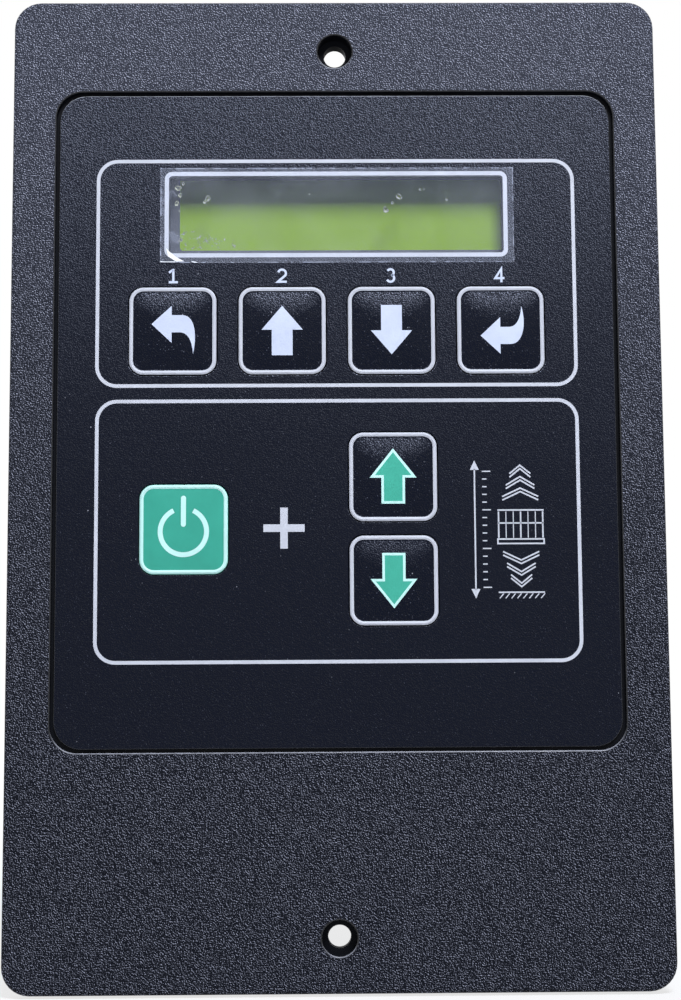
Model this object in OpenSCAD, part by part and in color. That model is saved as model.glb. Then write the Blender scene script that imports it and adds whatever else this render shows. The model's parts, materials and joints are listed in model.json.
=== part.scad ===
// Control box for a scissor lift: a moulded front panel with a keypad and a display,
// a circuit board behind it, and a sealed rear housing with two cable headers.
// Every piece is drawn lying on its back: x to the right, y up the panel and z towards
// the person who reads it. upright() then stands the box up, with its face towards -Y.
// The origin is midway between the two mounting holes, on the back plane of the panel.

/* [Front panel] */
// Width of the panel
panel_w = 131; // [126:1:160]
// Height of the panel
panel_h = 199; // [196:1:240]
// Depth of the panel from its face to its back plane
panel_t = 6.2; // [6:0.1:10]
// Corner radius of the panel
panel_corner_r = 5.5; // [3.5:0.5:9]
// Rounding of the front edge
panel_edge_r = 0.9; // [0.4:0.1:1.5]
// Thickness of the front wall round the keypad
panel_wall = 3; // [2:0.1:4]
// Thickness of the skirt round the panel
skirt_wall = 2.5; // [1.6:0.1:3.2]
// Thickness of the stiffening ribs
rib_t = 1.6; // [1:0.1:2.4]
// Distance that the ribs stay back from the back plane
rib_relief = 1; // [0.4:0.1:2]

/* [Mounting holes] */
// Distance between the two mounting holes
hole_spacing = 177.8; // [172:0.1:182]
// Clearance hole for the mounting screw
bolt_hole_d = 4.5; // [3.4:0.1:5.4]
// Sunk seat for the screw head
bolt_head_d = 7; // [6:0.1:9]
// Depth of the sunk seat, which leaves the rest of the panel's depth for the screw to clamp
bolt_head_depth = 3.2; // [2:0.1:4]
// Outer diameter of the mounting boss
boss_d = 14; // [12.5:0.5:16]

/* [Keypad recess and overlay] */
// Width of the recess that takes the keypad overlay
recess_w = 113.3; // [112:0.1:118]
// Height of the recess
recess_h = 133.5; // [133:0.1:138]
// Centre of the recess above the middle of the mounting holes
recess_up = 13.65; // [12:0.05:15]
// Corner radius of the recess
recess_corner_r = 5.4; // [4:0.1:8]
// Depth of the recess
recess_depth = 1.25; // [1:0.05:2]
// Thickness of the wall under the recess
floor_wall = 2.6; // [2.2:0.1:3.2]
// Thickness of the printed overlay
overlay_t = 0.5; // [0.3:0.05:0.7]
// Thickness of the adhesive under the overlay
adhesive_t = 0.15; // [0.05:0.05:0.25]
// Gap between the overlay and the edge of the recess
overlay_gap = 0.7; // [0.2:0.1:1]

/* [Display window] */
// Width of the clear window
window_w = 67.7; // [62:0.1:70]
// Height of the clear window
window_h = 16; // [14:0.1:17]
// Corner radius of the window
window_corner_r = 0.9; // [0.5:0.1:3]
// Window centre to the right of the middle
window_x = 0.13; // [-2:0.01:2]
// Window centre below the top of the recess
window_drop = 25.47; // [24.4:0.01:26.4]
// Thickness of the clear pane behind the window
lens_t = 1; // [0.8:0.1:1.4]
// Width of the pane beyond the window on each side
lens_lap = 2; // [1.2:0.1:2.6]
// Thickness of the protective film
film_t = 0.15; // [0.05:0.05:0.3]
// Width of the protective film
film_w = 72.5; // [71:0.1:74]
// Height of the protective film
film_h = 19.7; // [19:0.1:20.5]
// Film to the right of the window's middle
film_x = 0.62; // [-1:0.01:1]
// Film above the window's middle
film_up = -0.18; // [-1:0.01:1]

/* [Keys] */
// Width of a key
key_w = 17.6; // [15:0.1:19]
// Height of a key
key_h = 17.9; // [15:0.1:19]
// Corner radius of a key
key_corner_r = 2.9; // [1.5:0.1:4]
// Height of the raised rim of a key above the overlay
key_rim_rise = 0.25; // [0.1:0.05:0.5]
// Width of the raised rim
key_rim_w = 0.85; // [0.6:0.05:1.2]
// Height of the pillow in the middle of a key above the overlay
key_dome_rise = 0.55; // [0.3:0.05:0.9]
// How far a key travels when it is pressed
key_travel = 0.6; // [0.3:0.05:0.8]
// Running gap round a key
key_gap = 0.2; // [0.15:0.05:0.35]
// Distance between neighbouring keys in the upper row
key_pitch = 22; // [20.5:0.1:23]
// Middle of the upper row to the right of the middle
key_row_x = 0.12; // [-1:0.01:1]
// Upper row below the top of the recess
key_row_drop = 49.47; // [49.4:0.01:50.4]
// Raise and lower keys to the right of the middle
travel_keys_x = 11.15; // [8:0.01:14]
// Raise key below the top of the recess
raise_drop = 79.2; // [77.4:0.1:80.4]
// Lower key below the top of the recess
lower_drop = 99.9; // [98.9:0.1:102.4]
// Power key to the right of the middle
power_x = -30.55; // [-33:0.01:-28]
// Power key below the top of the recess
power_drop = 89.56; // [86.4:0.01:92.4]

/* [Plungers and switches] */
// Thickness of the pusher plate under a key
plate_t = 1.4; // [1:0.1:1.5]
// Diameter of the plunger's stem
stem_d = 5; // [4.4:0.1:6]
// Running gap round the stem
stem_gap = 0.3; // [0.2:0.05:0.4]
// Diameter of the plunger's tip inside the switch
tip_d = 3.2; // [2.4:0.1:3.8]
// Depth of the tip in the switch at rest
tip_depth = 0.8; // [0.5:0.1:1]
// Side of the square switch body
switch_w = 12; // [10:0.5:13]
// Height of the switch body
switch_h = 3.3; // [3:0.1:3.4]
// Thickness of the floor under a key
well_floor_t = 1.2; // [1:0.1:1.3]
// Thickness of the wall round a key's well
well_wall = 1.7; // [1.2:0.1:2.2]

/* [Circuit board and display module] */
// Thickness of the circuit boards
board_t = 1.6; // [1:0.1:2]
// Clearance between the main board and the wall round it
board_gap = 1.5; // [0.8:0.1:2.5]
// Height of the standoffs that carry the main board
standoff_h = 6; // [5.8:0.1:6.4]
// Distance from the face of the overlay to the display glass
lcd_setback = 5; // [4.6:0.1:5.4]
// Width of the display's metal frame
lcd_frame_w = 72.2; // [71:0.1:74]
// Height of the display's metal frame
lcd_frame_h = 25.6; // [24.5:0.1:27]
// Height of the metal frame above the display's own board
lcd_frame_t = 8.9; // [8.4:0.1:9.4]
// Width of the display's view area
lcd_view_w = 66.5; // [62:0.1:68]
// Height of the display's view area
lcd_view_h = 16; // [15:0.1:19]
// View area to the right of the window's middle
lcd_view_x = 1.22; // [0:0.01:2]
// View area above the window's middle
lcd_view_up = 1.7; // [0:0.05:2]
// Width of the display's own board
lcd_board_w = 80; // [78:0.5:84]
// Height of the display's own board
lcd_board_h = 36; // [34:0.5:37]

/* [Rear housing] */
// Depth of the rear housing
rear_depth = 30; // [29:0.5:45]
// Wall thickness of the rear housing and of the spigot that it meets
rear_wall = 2.5; // [2:0.1:3]
// How far the spigot stands behind the back plane
spigot_reach = 8.8; // [6:0.1:12]
// Thickness of the squeezed seal
seal_t = 0.8; // [0.5:0.1:1.5]
// Corner radius of the rear housing
rear_corner_r = 6; // [5:0.5:9]
// Rounding of the rear edge
rear_edge_r = 2; // [1:0.25:2.5]
// Height of the ribs on the rear face
rear_rib_h = 1.5; // [0.8:0.1:3]
// Diameter of the column round each housing screw
column_d = 10.5; // [10:0.5:12]
// Diameter of the well for each housing screw
screw_well_d = 7.6; // [7.2:0.1:8]

/* [Cable headers] */
// Distance between the two headers
header_pitch = 47; // [46.5:0.5:48]
// Width of the header's shroud
shroud_w = 36; // [34:0.5:38]
// Depth of the header's shroud from front to back
shroud_d = 18; // [17:0.5:19]
// Length of the shroud below its flange
shroud_l = 20; // [17:0.5:24]
// Wall of the shroud
shroud_wall = 1.8; // [1.4:0.1:2.2]
// Width of the header's flange
header_flange_w = 46; // [45:0.5:46.5]
// Depth of the header's flange from front to back
header_flange_d = 22; // [21.5:0.5:23]
// Thickness of the header's flange
header_flange_t = 2.5; // [2:0.1:4]
// Diameter of the contact pins
pin_d = 1.6; // [1:0.1:1.8]
// Distance between contact pins along a row
pin_pitch = 4.8; // [4.2:0.1:5]
// Distance between the two rows of contact pins
row_pitch = 6.6; // [5.5:0.1:7.5]
// Length of the pins inside the shroud
pin_reach = 10; // [6:0.5:12]

/* [Hidden] */

// How far a cutting shape runs past the face that it opens
overrun = 0.5;
// Roundness of true curves, and of the few faceted ones
$fn = 64;
facet_fn = 32;
// Steps of a rounded edge, each a share of its quarter turn
edge_share = [0, 0.25, 0.5, 0.75, 1];

// Levels of the panel, from its face to its inside
floor_z = panel_t - recess_depth;
overlay_z = floor_z + adhesive_t;
overlay_top = overlay_z + overlay_t;
under_z = floor_z - floor_wall;
frame_under_z = panel_t - panel_wall;
well_under_z = under_z - well_floor_t;
board_z = under_z - standoff_h;
board_back_z = board_z - board_t;
switch_top = board_z + switch_h;
shoulder_z = switch_top + key_travel + stem_gap;
plate_z = floor_z - plate_t;

// Overlay outline
overlay_w = recess_w - 2 * overlay_gap;
overlay_h = recess_h - 2 * overlay_gap;

// Heights of the window and the keys, which keep their places below the top of the recess
recess_top = recess_up + recess_h / 2;
window_up = recess_top - window_drop;
key_row_up = recess_top - key_row_drop;
raise_up = recess_top - raise_drop;
lower_up = recess_top - lower_drop;
power_up = recess_top - power_drop;

// Key places, in the order of the keys' names
key_xs = [for (i = [0:3]) key_row_x + (i - 1.5) * key_pitch];
key_places = [
    [key_xs[0], key_row_up], [key_xs[1], key_row_up], [key_xs[2], key_row_up],
    [key_xs[3], key_row_up], [power_x, power_up],
    [travel_keys_x, raise_up], [travel_keys_x, lower_up]
];
BACK = 0;
UP = 1;
DOWN = 2;
ENTER = 3;
POWER = 4;
RAISE = 5;
LOWER = 6;

// Display levels and places
lcd_x = window_x + lcd_view_x;
lcd_up = window_up + lcd_view_up;
lcd_sheet_t = 0.4;
lcd_glass_t = 2.8;
lcd_fit = 0.2;
lcd_glass_z = overlay_top - lcd_setback;
lcd_front_z = lcd_glass_z + lcd_sheet_t;
lcd_board_z = lcd_front_z - lcd_frame_t;
lcd_hole_inset = 2.6;
lcd_screw_d = 2.5;
lcd_spacer_d = 5;
lcd_pins = 16;
lcd_pin_spacing = 2.54;
lcd_pin_d = 0.64;
lcd_pin_inset = 2.5;

// Spigot, seal and rear housing share one outline
spigot_inset = 0.65;
spigot_w = recess_w - 2 * spigot_inset;
spigot_h = recess_h - 2 * spigot_inset;
spigot_in_w = spigot_w - 2 * rear_wall;
spigot_in_h = spigot_h - 2 * rear_wall;
spigot_end_z = -spigot_reach;
rear_rim_z = spigot_end_z - seal_t;
rear_face_z = rear_rim_z - rear_depth;

// Housing screws stand in the corners of the spigot
rear_screw_d = 3.9;
rear_screw_hole_d = 4.3;
rear_screw_head_d = 6.8;
rear_screw_head_t = 2.4;
rear_screw_bite = 9;
pilot_fit = 0.1;
column_x = spigot_in_w / 2 - column_d / 2 + rear_wall / 2;
column_y = spigot_in_h / 2 - column_d / 2 + rear_wall / 2;
web_t = 3;
rear_boss_d = 9;

// Main board outline, with a notch for each column
board_w = spigot_in_w - 2 * board_gap;
board_h = spigot_in_h - 2 * board_gap;
board_notch = column_d + board_gap;
board_corner_r = 1.5;

// Main board screws: two rows beside the display and the keys
board_hole_d = 3.2;
board_screw_d = 2.9;
board_screw_head_d = 5.6;
board_screw_head_t = 2;
standoff_d = 6.5;
standoff_x_share = 0.455;
standoff_y_shares = [-0.33, 0, 0.33];

// Headers leave the bottom wall of the rear housing
header_y = recess_up - spigot_h / 2;
header_z = rear_rim_z - rear_depth / 2;
header_seal_t = 1;
header_corner_r = 3;
header_plug_w = shroud_w - 2 * shroud_wall;
header_plug_d = shroud_d - 2 * shroud_wall;
header_block_l = 3;
header_hole_fit = 0.3;
header_screw_x = (header_flange_w + shroud_w) / 4;
header_screw_d = 2.6;
header_screw_head_d = 4.4;
header_screw_head_t = 1.8;
pins_in_row = 6;
tail_t = 1;
tail_step = 2.2;
tail_stagger = 3.2;

// Rows of parts on the back of the main board, from the header tails up to the display
parts_foot = header_y + rear_wall + header_block_l + tail_step + tail_stagger;
parts_head = lcd_up - lcd_board_h / 2;
driver_row_share = 0.24;
chip_row_share = 0.5;
tall_row_share = 0.78;
relay_x_share = -0.214;
sounder_x_share = 0.077;
cap_x_share = 0.29;

// Sizes of those parts
chip_w = 14;
chip_t = 1.6;
chip_lead = 1;
chip_lead_t = 0.3;
chip_leads = 12;
driver_w = 10;
driver_h = 9;
driver_t = 4.4;
driver_count = 6;
driver_pitch = 13;
cap_d = 8;
cap_l = 12;
cap_rim = 0.5;
cap_groove = 0.4;
cap_pitch = 9.6;
relay_w = 19;
relay_h = 15.5;
relay_t = 15;
relay_r = 1;
relay_pitch = 22.5;
sounder_d = 12;
sounder_t = 8.5;
sounder_port_d = 2.5;

// Stands the box up, with its face towards -Y
module upright() {
    rotate([90, 0, 0]) children();
}

// Flat rounded rectangle about the origin
module rounded_outline(w, h, r) {
    square([w - 2 * r, h], center = true);
    square([w, h - 2 * r], center = true);
    for (sx = [-1, 1], sy = [-1, 1])
        translate([sx * (w / 2 - r), sy * (h / 2 - r)]) circle(r);
}

// Rounded rectangular plate between two levels
module plate(w, h, r, z0, z1) {
    translate([0, 0, z0]) linear_extrude(z1 - z0) rounded_outline(w, h, r);
}

// Upright cylinder between two levels
module post(d, z0, z1) {
    translate([0, 0, z0]) cylinder(d = d, h = z1 - z0);
}

// Puts a child at every key's place
module at_keys() {
    for (p = key_places) translate(p) children();
}

// Puts a child at every screw column
module at_columns() {
    for (sx = [-1, 1], sy = [-1, 1])
        translate([sx * column_x, recess_up + sy * column_y]) children();
}

// Puts a child at every main board screw
module at_standoffs() {
    for (sx = [-1, 1], share = standoff_y_shares)
        translate([sx * standoff_x_share * board_w, recess_up + share * board_h]) children();
}

// Puts a child at every screw of the display's board
module at_lcd_holes() {
    for (sx = [-1, 1], sy = [-1, 1])
        translate([
            lcd_x + sx * (lcd_board_w / 2 - lcd_hole_inset),
            lcd_up + sy * (lcd_board_h / 2 - lcd_hole_inset)
        ]) children();
}

// Puts a child at both mounting holes
module at_mounting_holes() {
    for (side = [-1, 1]) translate([0, side * hole_spacing / 2]) children();
}

// Rounded block whose top edge is rounded over with radius e
module soft_block(w, h, r, z0, z1, e) {
    profile = concat(
        [[0, z0], [r, z0]],
        [for (s = edge_share) [r - e + e * cos(90 * s), z1 - e + e * sin(90 * s)]],
        [[0, z1]]
    );
    hull()
        for (sx = [-1, 1], sy = [-1, 1])
            translate([sx * (w / 2 - r), sy * (h / 2 - r)])
                rotate_extrude($fn = facet_fn) polygon(profile);
}

// Ribs between the spigot and the skirt
module flange_ribs() {
    rib_top = frame_under_z + overrun;
    rib_h = rib_top - rib_relief;
    skirt_x = panel_w / 2 - skirt_wall / 2;
    skirt_y = panel_h / 2 - skirt_wall / 2;
    spigot_top = recess_up + spigot_h / 2 - rear_wall / 2;
    spigot_foot = recess_up - spigot_h / 2 + rear_wall / 2;
    spigot_side = spigot_w / 2 - rear_wall / 2;
    for (share = [-0.75, -0.5, -0.25, 0.25, 0.5, 0.75]) {
        x = share * panel_w / 2;
        translate([x - rib_t / 2, -skirt_y, rib_relief]) cube([rib_t, spigot_foot + skirt_y, rib_h]);
        translate([x - rib_t / 2, spigot_top, rib_relief]) cube([rib_t, skirt_y - spigot_top, rib_h]);
    }
    for (share = [-0.8, -0.4, 0, 0.4, 0.8], side = [-1, 1])
        translate([
            side * (skirt_x + spigot_side) / 2,
            recess_up + share * spigot_h / 2,
            rib_relief + rib_h / 2
        ]) cube([skirt_x - spigot_side, rib_t, rib_h], center = true);
    boss_bite = (boss_d + bolt_head_d) / 4;
    cross_y = (spigot_foot - skirt_y) / 2;
    translate([-skirt_x, cross_y - rib_t / 2, rib_relief]) cube([2 * skirt_x, rib_t, rib_h]);
    translate([-rib_t / 2, -skirt_y, rib_relief])
        cube([rib_t, skirt_y - hole_spacing / 2 - boss_bite, rib_h]);
    translate([-rib_t / 2, -hole_spacing / 2 + boss_bite, rib_relief])
        cube([rib_t, spigot_foot + hole_spacing / 2 - boss_bite, rib_h]);
}

// Moulded front housing: panel, recess, wells, bosses, ribs and spigot
module front_housing() {
    spigot_r = rear_corner_r;
    color([0.17, 0.18, 0.21]) difference() {
        union() {
            difference() {
                soft_block(panel_w, panel_h, panel_corner_r, 0, panel_t, panel_edge_r);
                plate(
                    panel_w - 2 * skirt_wall, panel_h - 2 * skirt_wall,
                    panel_corner_r - skirt_wall, -overrun, frame_under_z
                );
            }
            translate([0, recess_up]) {
                plate(spigot_w, spigot_h, spigot_r, under_z, frame_under_z + overrun);
                difference() {
                    plate(spigot_w, spigot_h, spigot_r, spigot_end_z, under_z + overrun);
                    plate(
                        spigot_in_w, spigot_in_h, spigot_r - rear_wall,
                        spigot_end_z - overrun, under_z + 2 * overrun
                    );
                }
            }
            flange_ribs();
            at_mounting_holes() post(boss_d, 0, frame_under_z + overrun);
            at_columns() post(rear_boss_d, spigot_end_z, under_z + overrun);
            at_standoffs() post(standoff_d, board_z, under_z + overrun);
            at_keys() plate(
                key_w + 2 * (key_gap + well_wall), key_h + 2 * (key_gap + well_wall),
                key_corner_r + key_gap + well_wall, well_under_z, under_z + overrun
            );
        }
        translate([0, recess_up]) plate(recess_w, recess_h, recess_corner_r, floor_z, panel_t + overrun);
        at_keys() {
            plate(
                key_w + 2 * key_gap, key_h + 2 * key_gap, key_corner_r + key_gap,
                under_z, floor_z + overrun
            );
            post(stem_d + 2 * stem_gap, well_under_z - overrun, under_z + overrun);
        }
        translate([window_x, window_up]) {
            plate(
                window_w + 2 * (lens_lap + lcd_fit), window_h + 2 * (lens_lap + lcd_fit),
                window_corner_r, floor_z - lens_t, floor_z + overrun
            );
            plate(window_w, window_h, window_corner_r, under_z - overrun, floor_z);
        }
        at_mounting_holes() {
            post(bolt_hole_d, -overrun, panel_t + overrun);
            post(bolt_head_d, panel_t - bolt_head_depth, panel_t + overrun);
        }
        at_columns() post(
            rear_screw_d + 2 * pilot_fit,
            spigot_end_z - overrun, spigot_end_z + rear_screw_bite + overrun
        );
        at_standoffs() post(board_screw_d + 2 * pilot_fit, board_z - overrun, under_z);
    }
}

// Apertures of the keypad sheet
module sheet_openings(z0, z1) {
    at_keys() plate(
        key_w + 2 * key_gap, key_h + 2 * key_gap, key_corner_r + key_gap,
        z0 - overrun, z1 + overrun
    );
    translate([window_x, window_up])
        plate(window_w, window_h, window_corner_r, z0 - overrun, z1 + overrun);
}

// Printed keypad sheet
module graphic_overlay() {
    color([0.1, 0.11, 0.14]) difference() {
        translate([0, recess_up]) plate(overlay_w, overlay_h, recess_corner_r, overlay_z, overlay_top);
        sheet_openings(overlay_z, overlay_top);
    }
}

// Adhesive that holds the sheet and the window pane
module overlay_adhesive() {
    color([0.75, 0.75, 0.72]) difference() {
        translate([0, recess_up]) plate(overlay_w, overlay_h, recess_corner_r, floor_z, overlay_z);
        sheet_openings(floor_z, overlay_z);
    }
}

// Clear pane in its rebate behind the window
module display_window() {
    color([0.8, 0.88, 0.9, 0.5]) translate([window_x, window_up]) plate(
        window_w + 2 * lens_lap, window_h + 2 * lens_lap, window_corner_r,
        floor_z - lens_t, floor_z
    );
}

// Clear film left over the window
module window_film() {
    color([0.85, 0.88, 0.95, 0.4]) translate([window_x + film_x, window_up + film_up])
        plate(film_w, film_h, window_corner_r / 2, overlay_top, overlay_top + film_t);
}

// Key pad: its edge stands in the sheet, with a raised rim round a pillow
module key_pad(which) {
    rim_z = overlay_top + key_rim_rise;
    base_z = overlay_top + key_rim_rise / 2;
    inner_w = key_w - 2 * key_rim_w;
    inner_h = key_h - 2 * key_rim_w;
    dome_r = (inner_w * inner_w / 4 + key_dome_rise * key_dome_rise) / (2 * key_dome_rise);
    translate(key_places[which]) {
        difference() {
            plate(key_w, key_h, key_corner_r, floor_z, rim_z);
            plate(inner_w, inner_h, key_corner_r - key_rim_w, base_z, rim_z + overrun);
        }
        intersection() {
            plate(
                inner_w - key_rim_w, inner_h - key_rim_w, key_corner_r - key_rim_w,
                floor_z + overlay_t / 2, overlay_top + 2 * key_dome_rise
            );
            translate([0, 0, overlay_top + key_dome_rise - dome_r]) sphere(dome_r, $fn = 128);
        }
    }
}

// Key printed on black
module black_key(which) {
    color([0.1, 0.11, 0.14]) key_pad(which);
}

// Key printed in green
module green_key(which) {
    color([0.13, 0.6, 0.5]) key_pad(which);
}

// Plunger: a pusher plate with ribs, a stem and the tip that works the switch
module plunger(which) {
    plate_w = key_w - 2 * key_rim_w;
    plate_h = key_h - 2 * key_rim_w;
    web_h = plate_z - under_z - key_travel - stem_gap;
    color([0.85, 0.85, 0.82]) translate(key_places[which]) {
        plate(plate_w, plate_h, key_corner_r - key_rim_w / 2, plate_z, floor_z);
        for (turn = [0, 90])
            rotate(turn)
                translate([-plate_w / 2 + key_rim_w, -key_rim_w / 2, plate_z - web_h])
                    cube([plate_w - 2 * key_rim_w, key_rim_w, web_h + plate_t / 2]);
        post(stem_d, shoulder_z, plate_z + plate_t / 2);
        post(tip_d, switch_top - tip_depth, shoulder_z + stem_gap);
    }
}

// Square key switches with their legs, soldered to the main board
module switches() {
    leg_w = switch_w / 10;
    leg_t = switch_h / 12;
    color([0.08, 0.08, 0.09]) at_keys() difference() {
        union() {
            plate(switch_w, switch_w, switch_w / 12, board_z, switch_top);
            for (sx = [-1, 1], sy = [-1, 1])
                translate([sx * switch_w / 2 - leg_w, sy * switch_w / 4 - leg_w / 2, board_z])
                    cube([2 * leg_w, leg_w, leg_t]);
        }
        post(tip_d + 2 * stem_gap, switch_top - tip_depth - key_travel - stem_gap, switch_top + overrun);
    }
}

// Main board, cut out round the display and the screw columns
module main_board() {
    color([0.05, 0.32, 0.16]) difference() {
        translate([0, recess_up]) plate(board_w, board_h, board_corner_r, board_back_z, board_z);
        at_columns() translate([0, 0, board_back_z - overrun])
            linear_extrude(board_t + 2 * overrun) square(board_notch + board_gap, center = true);
        translate([lcd_x, lcd_up]) plate(
            lcd_frame_w + 4 * lcd_fit, lcd_frame_h + 4 * lcd_fit, board_corner_r,
            board_back_z - overrun, board_z + overrun
        );
        at_standoffs() post(board_hole_d, board_back_z - overrun, board_z + overrun);
        at_lcd_holes() post(lcd_screw_d + 2 * pilot_fit, board_back_z - overrun, board_z + overrun);
        at_tails() post(pin_d + 2 * pilot_fit, board_back_z - overrun, board_z + overrun);
    }
}

// Screw with a pan head whose seat is at z = 0 and whose shank runs up
module pan_screw(d, l, head_d, head_t) {
    slot_w = head_d / 7;
    difference() {
        union() {
            post(d, -head_t / 2, l);
            post(head_d, -head_t * 0.7, 0);
            translate([0, 0, -head_t]) cylinder(d1 = head_d * 0.7, d2 = head_d, h = head_t * 0.3);
        }
        for (turn = [0, 90])
            rotate(turn) translate([0, 0, -head_t])
                cube([head_d * 0.55, slot_w, head_t * 0.8], center = true);
    }
}

// Screws that hold the main board
module board_screws() {
    color([0.75, 0.75, 0.78]) at_standoffs() translate([0, 0, board_back_z])
        pan_screw(board_screw_d, standoff_h * 0.8 + board_t, board_screw_head_d, board_screw_head_t);
}

// Folded metal frame of the display, open where the glass shows
module lcd_frame() {
    color([0.07, 0.07, 0.08]) translate([lcd_x, lcd_up]) difference() {
        plate(lcd_frame_w, lcd_frame_h, board_corner_r / 2, lcd_board_z, lcd_front_z);
        plate(
            lcd_frame_w - 2 * lcd_sheet_t, lcd_frame_h - 2 * lcd_sheet_t, board_corner_r / 4,
            lcd_board_z - overrun, lcd_glass_z
        );
        plate(lcd_view_w, lcd_view_h, board_corner_r / 2, lcd_glass_z - overrun, lcd_front_z + overrun);
    }
}

// Display glass
module lcd_glass() {
    color([0.55, 0.68, 0.4]) translate([lcd_x, lcd_up]) plate(
        lcd_frame_w - 2 * (lcd_sheet_t + lcd_fit), lcd_frame_h - 2 * (lcd_sheet_t + lcd_fit),
        board_corner_r / 4, lcd_glass_z - lcd_glass_t, lcd_glass_z
    );
}

// Light guide behind the glass
module lcd_backlight() {
    color([0.9, 0.92, 0.88]) translate([lcd_x, lcd_up]) plate(
        lcd_frame_w - 2 * (lcd_sheet_t + lcd_fit), lcd_frame_h - 2 * (lcd_sheet_t + lcd_fit),
        board_corner_r / 4, lcd_board_z, lcd_glass_z - lcd_glass_t
    );
}

// The display's own board
module lcd_board() {
    color([0.04, 0.28, 0.14]) difference() {
        translate([lcd_x, lcd_up])
            plate(lcd_board_w, lcd_board_h, board_corner_r, lcd_board_z - board_t, lcd_board_z);
        at_lcd_holes()
            post(lcd_screw_d + 2 * pilot_fit, lcd_board_z - board_t - overrun, lcd_board_z + overrun);
        at_lcd_pins()
            post(lcd_pin_d + 2 * pilot_fit, lcd_board_z - board_t - overrun, lcd_board_z + overrun);
    }
}

// Spacers between the two boards
module lcd_spacers() {
    color([0.9, 0.9, 0.88]) at_lcd_holes() difference() {
        post(lcd_spacer_d, lcd_board_z, board_back_z);
        post(lcd_screw_d + 2 * pilot_fit, lcd_board_z - overrun, board_back_z + overrun);
    }
}

// Screws that hold the display's board
module lcd_screws() {
    reach = board_z - lcd_board_z + board_t;
    color([0.75, 0.75, 0.78]) at_lcd_holes() translate([0, 0, lcd_board_z - board_t])
        pan_screw(lcd_screw_d, reach, 2 * lcd_screw_d, lcd_screw_d * 0.8);
}

// Puts a child at every pin between the two boards
module at_lcd_pins() {
    for (i = [0:lcd_pins - 1])
        translate([
            lcd_x + (i - (lcd_pins - 1) / 2) * lcd_pin_spacing,
            lcd_up + lcd_board_h / 2 - lcd_pin_inset
        ]) children();
}

// Pin header between the two boards
module lcd_header() {
    color([0.1, 0.1, 0.1]) {
        translate([lcd_x, lcd_up + lcd_board_h / 2 - lcd_pin_inset])
            plate(
                lcd_pins * lcd_pin_spacing, lcd_pin_spacing, lcd_pin_spacing / 8,
                lcd_board_z, board_back_z
            );
        at_lcd_pins() post(lcd_pin_d, lcd_board_z - board_t - lcd_pin_d, board_back_z - lcd_pin_d);
    }
}

// Height of a row of parts on the back of the main board
function parts_row(share) = parts_foot + share * (parts_head - parts_foot);

// Processor with leads on four sides
module controller_chip() {
    pitch = chip_w * 0.85 / chip_leads;
    color([0.06, 0.06, 0.07]) translate([0, parts_row(chip_row_share), 0]) {
        plate(chip_w, chip_w, chip_w / 20, board_back_z - chip_t, board_back_z - chip_lead_t / 3);
        for (turn = [0:90:270])
            rotate(turn)
                for (i = [0:chip_leads - 1])
                    translate([
                        chip_w / 2 - chip_lead_t,
                        (i - (chip_leads - 1) / 2) * pitch - pitch / 4,
                        board_back_z - chip_lead_t
                    ]) cube([chip_lead + chip_lead_t, pitch / 2, chip_lead_t]);
    }
}

// Row of power switches
module driver_chips() {
    color([0.08, 0.08, 0.09])
        for (i = [0:driver_count - 1])
            translate([
                (i - (driver_count - 1) / 2) * driver_pitch,
                parts_row(driver_row_share),
                board_back_z - driver_t / 2
            ]) {
                cube([driver_w, driver_h, driver_t], center = true);
                translate([0, -driver_h * 0.55, driver_t / 2 - chip_lead_t / 2])
                    cube([driver_w / 2, driver_h * 0.4, chip_lead_t], center = true);
            }
}

// Standing capacitors with a crimped foot
module capacitors() {
    color([0.2, 0.22, 0.3])
        for (i = [0:2])
            translate([cap_x_share * board_w + (i - 1) * cap_pitch, parts_row(tall_row_share), 0]) {
                post(cap_d, board_back_z - cap_l, board_back_z - cap_l * 0.25);
                post(cap_d - 2 * cap_groove, board_back_z - cap_l * 0.3, board_back_z - cap_l * 0.15);
                post(cap_d + cap_rim, board_back_z - cap_l * 0.2, board_back_z);
            }
}

// Two power relays
module relays() {
    color([0.1, 0.2, 0.45])
        for (side = [-1, 1])
            translate([relay_x_share * board_w + side * relay_pitch / 2, parts_row(tall_row_share), 0])
                plate(relay_w, relay_h, relay_r, board_back_z - relay_t, board_back_z);
}

// Sounder with its port
module sounder() {
    color([0.07, 0.07, 0.07])
        translate([sounder_x_share * board_w, parts_row(tall_row_share), 0]) difference() {
            post(sounder_d, board_back_z - sounder_t, board_back_z);
            post(sounder_port_d, board_back_z - sounder_t - overrun, board_back_z - sounder_t * 0.6);
        }
}

// Squeezed seal between the spigot and the rear housing
module rear_seal() {
    color([0.25, 0.25, 0.26]) difference() {
        translate([0, recess_up]) difference() {
            plate(spigot_w, spigot_h, rear_corner_r, rear_rim_z, spigot_end_z);
            plate(
                spigot_in_w, spigot_in_h, rear_corner_r - rear_wall,
                rear_rim_z - overrun, spigot_end_z + overrun
            );
        }
        at_columns() post(column_d, rear_rim_z - overrun, spigot_end_z + overrun);
    }
}

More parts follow.
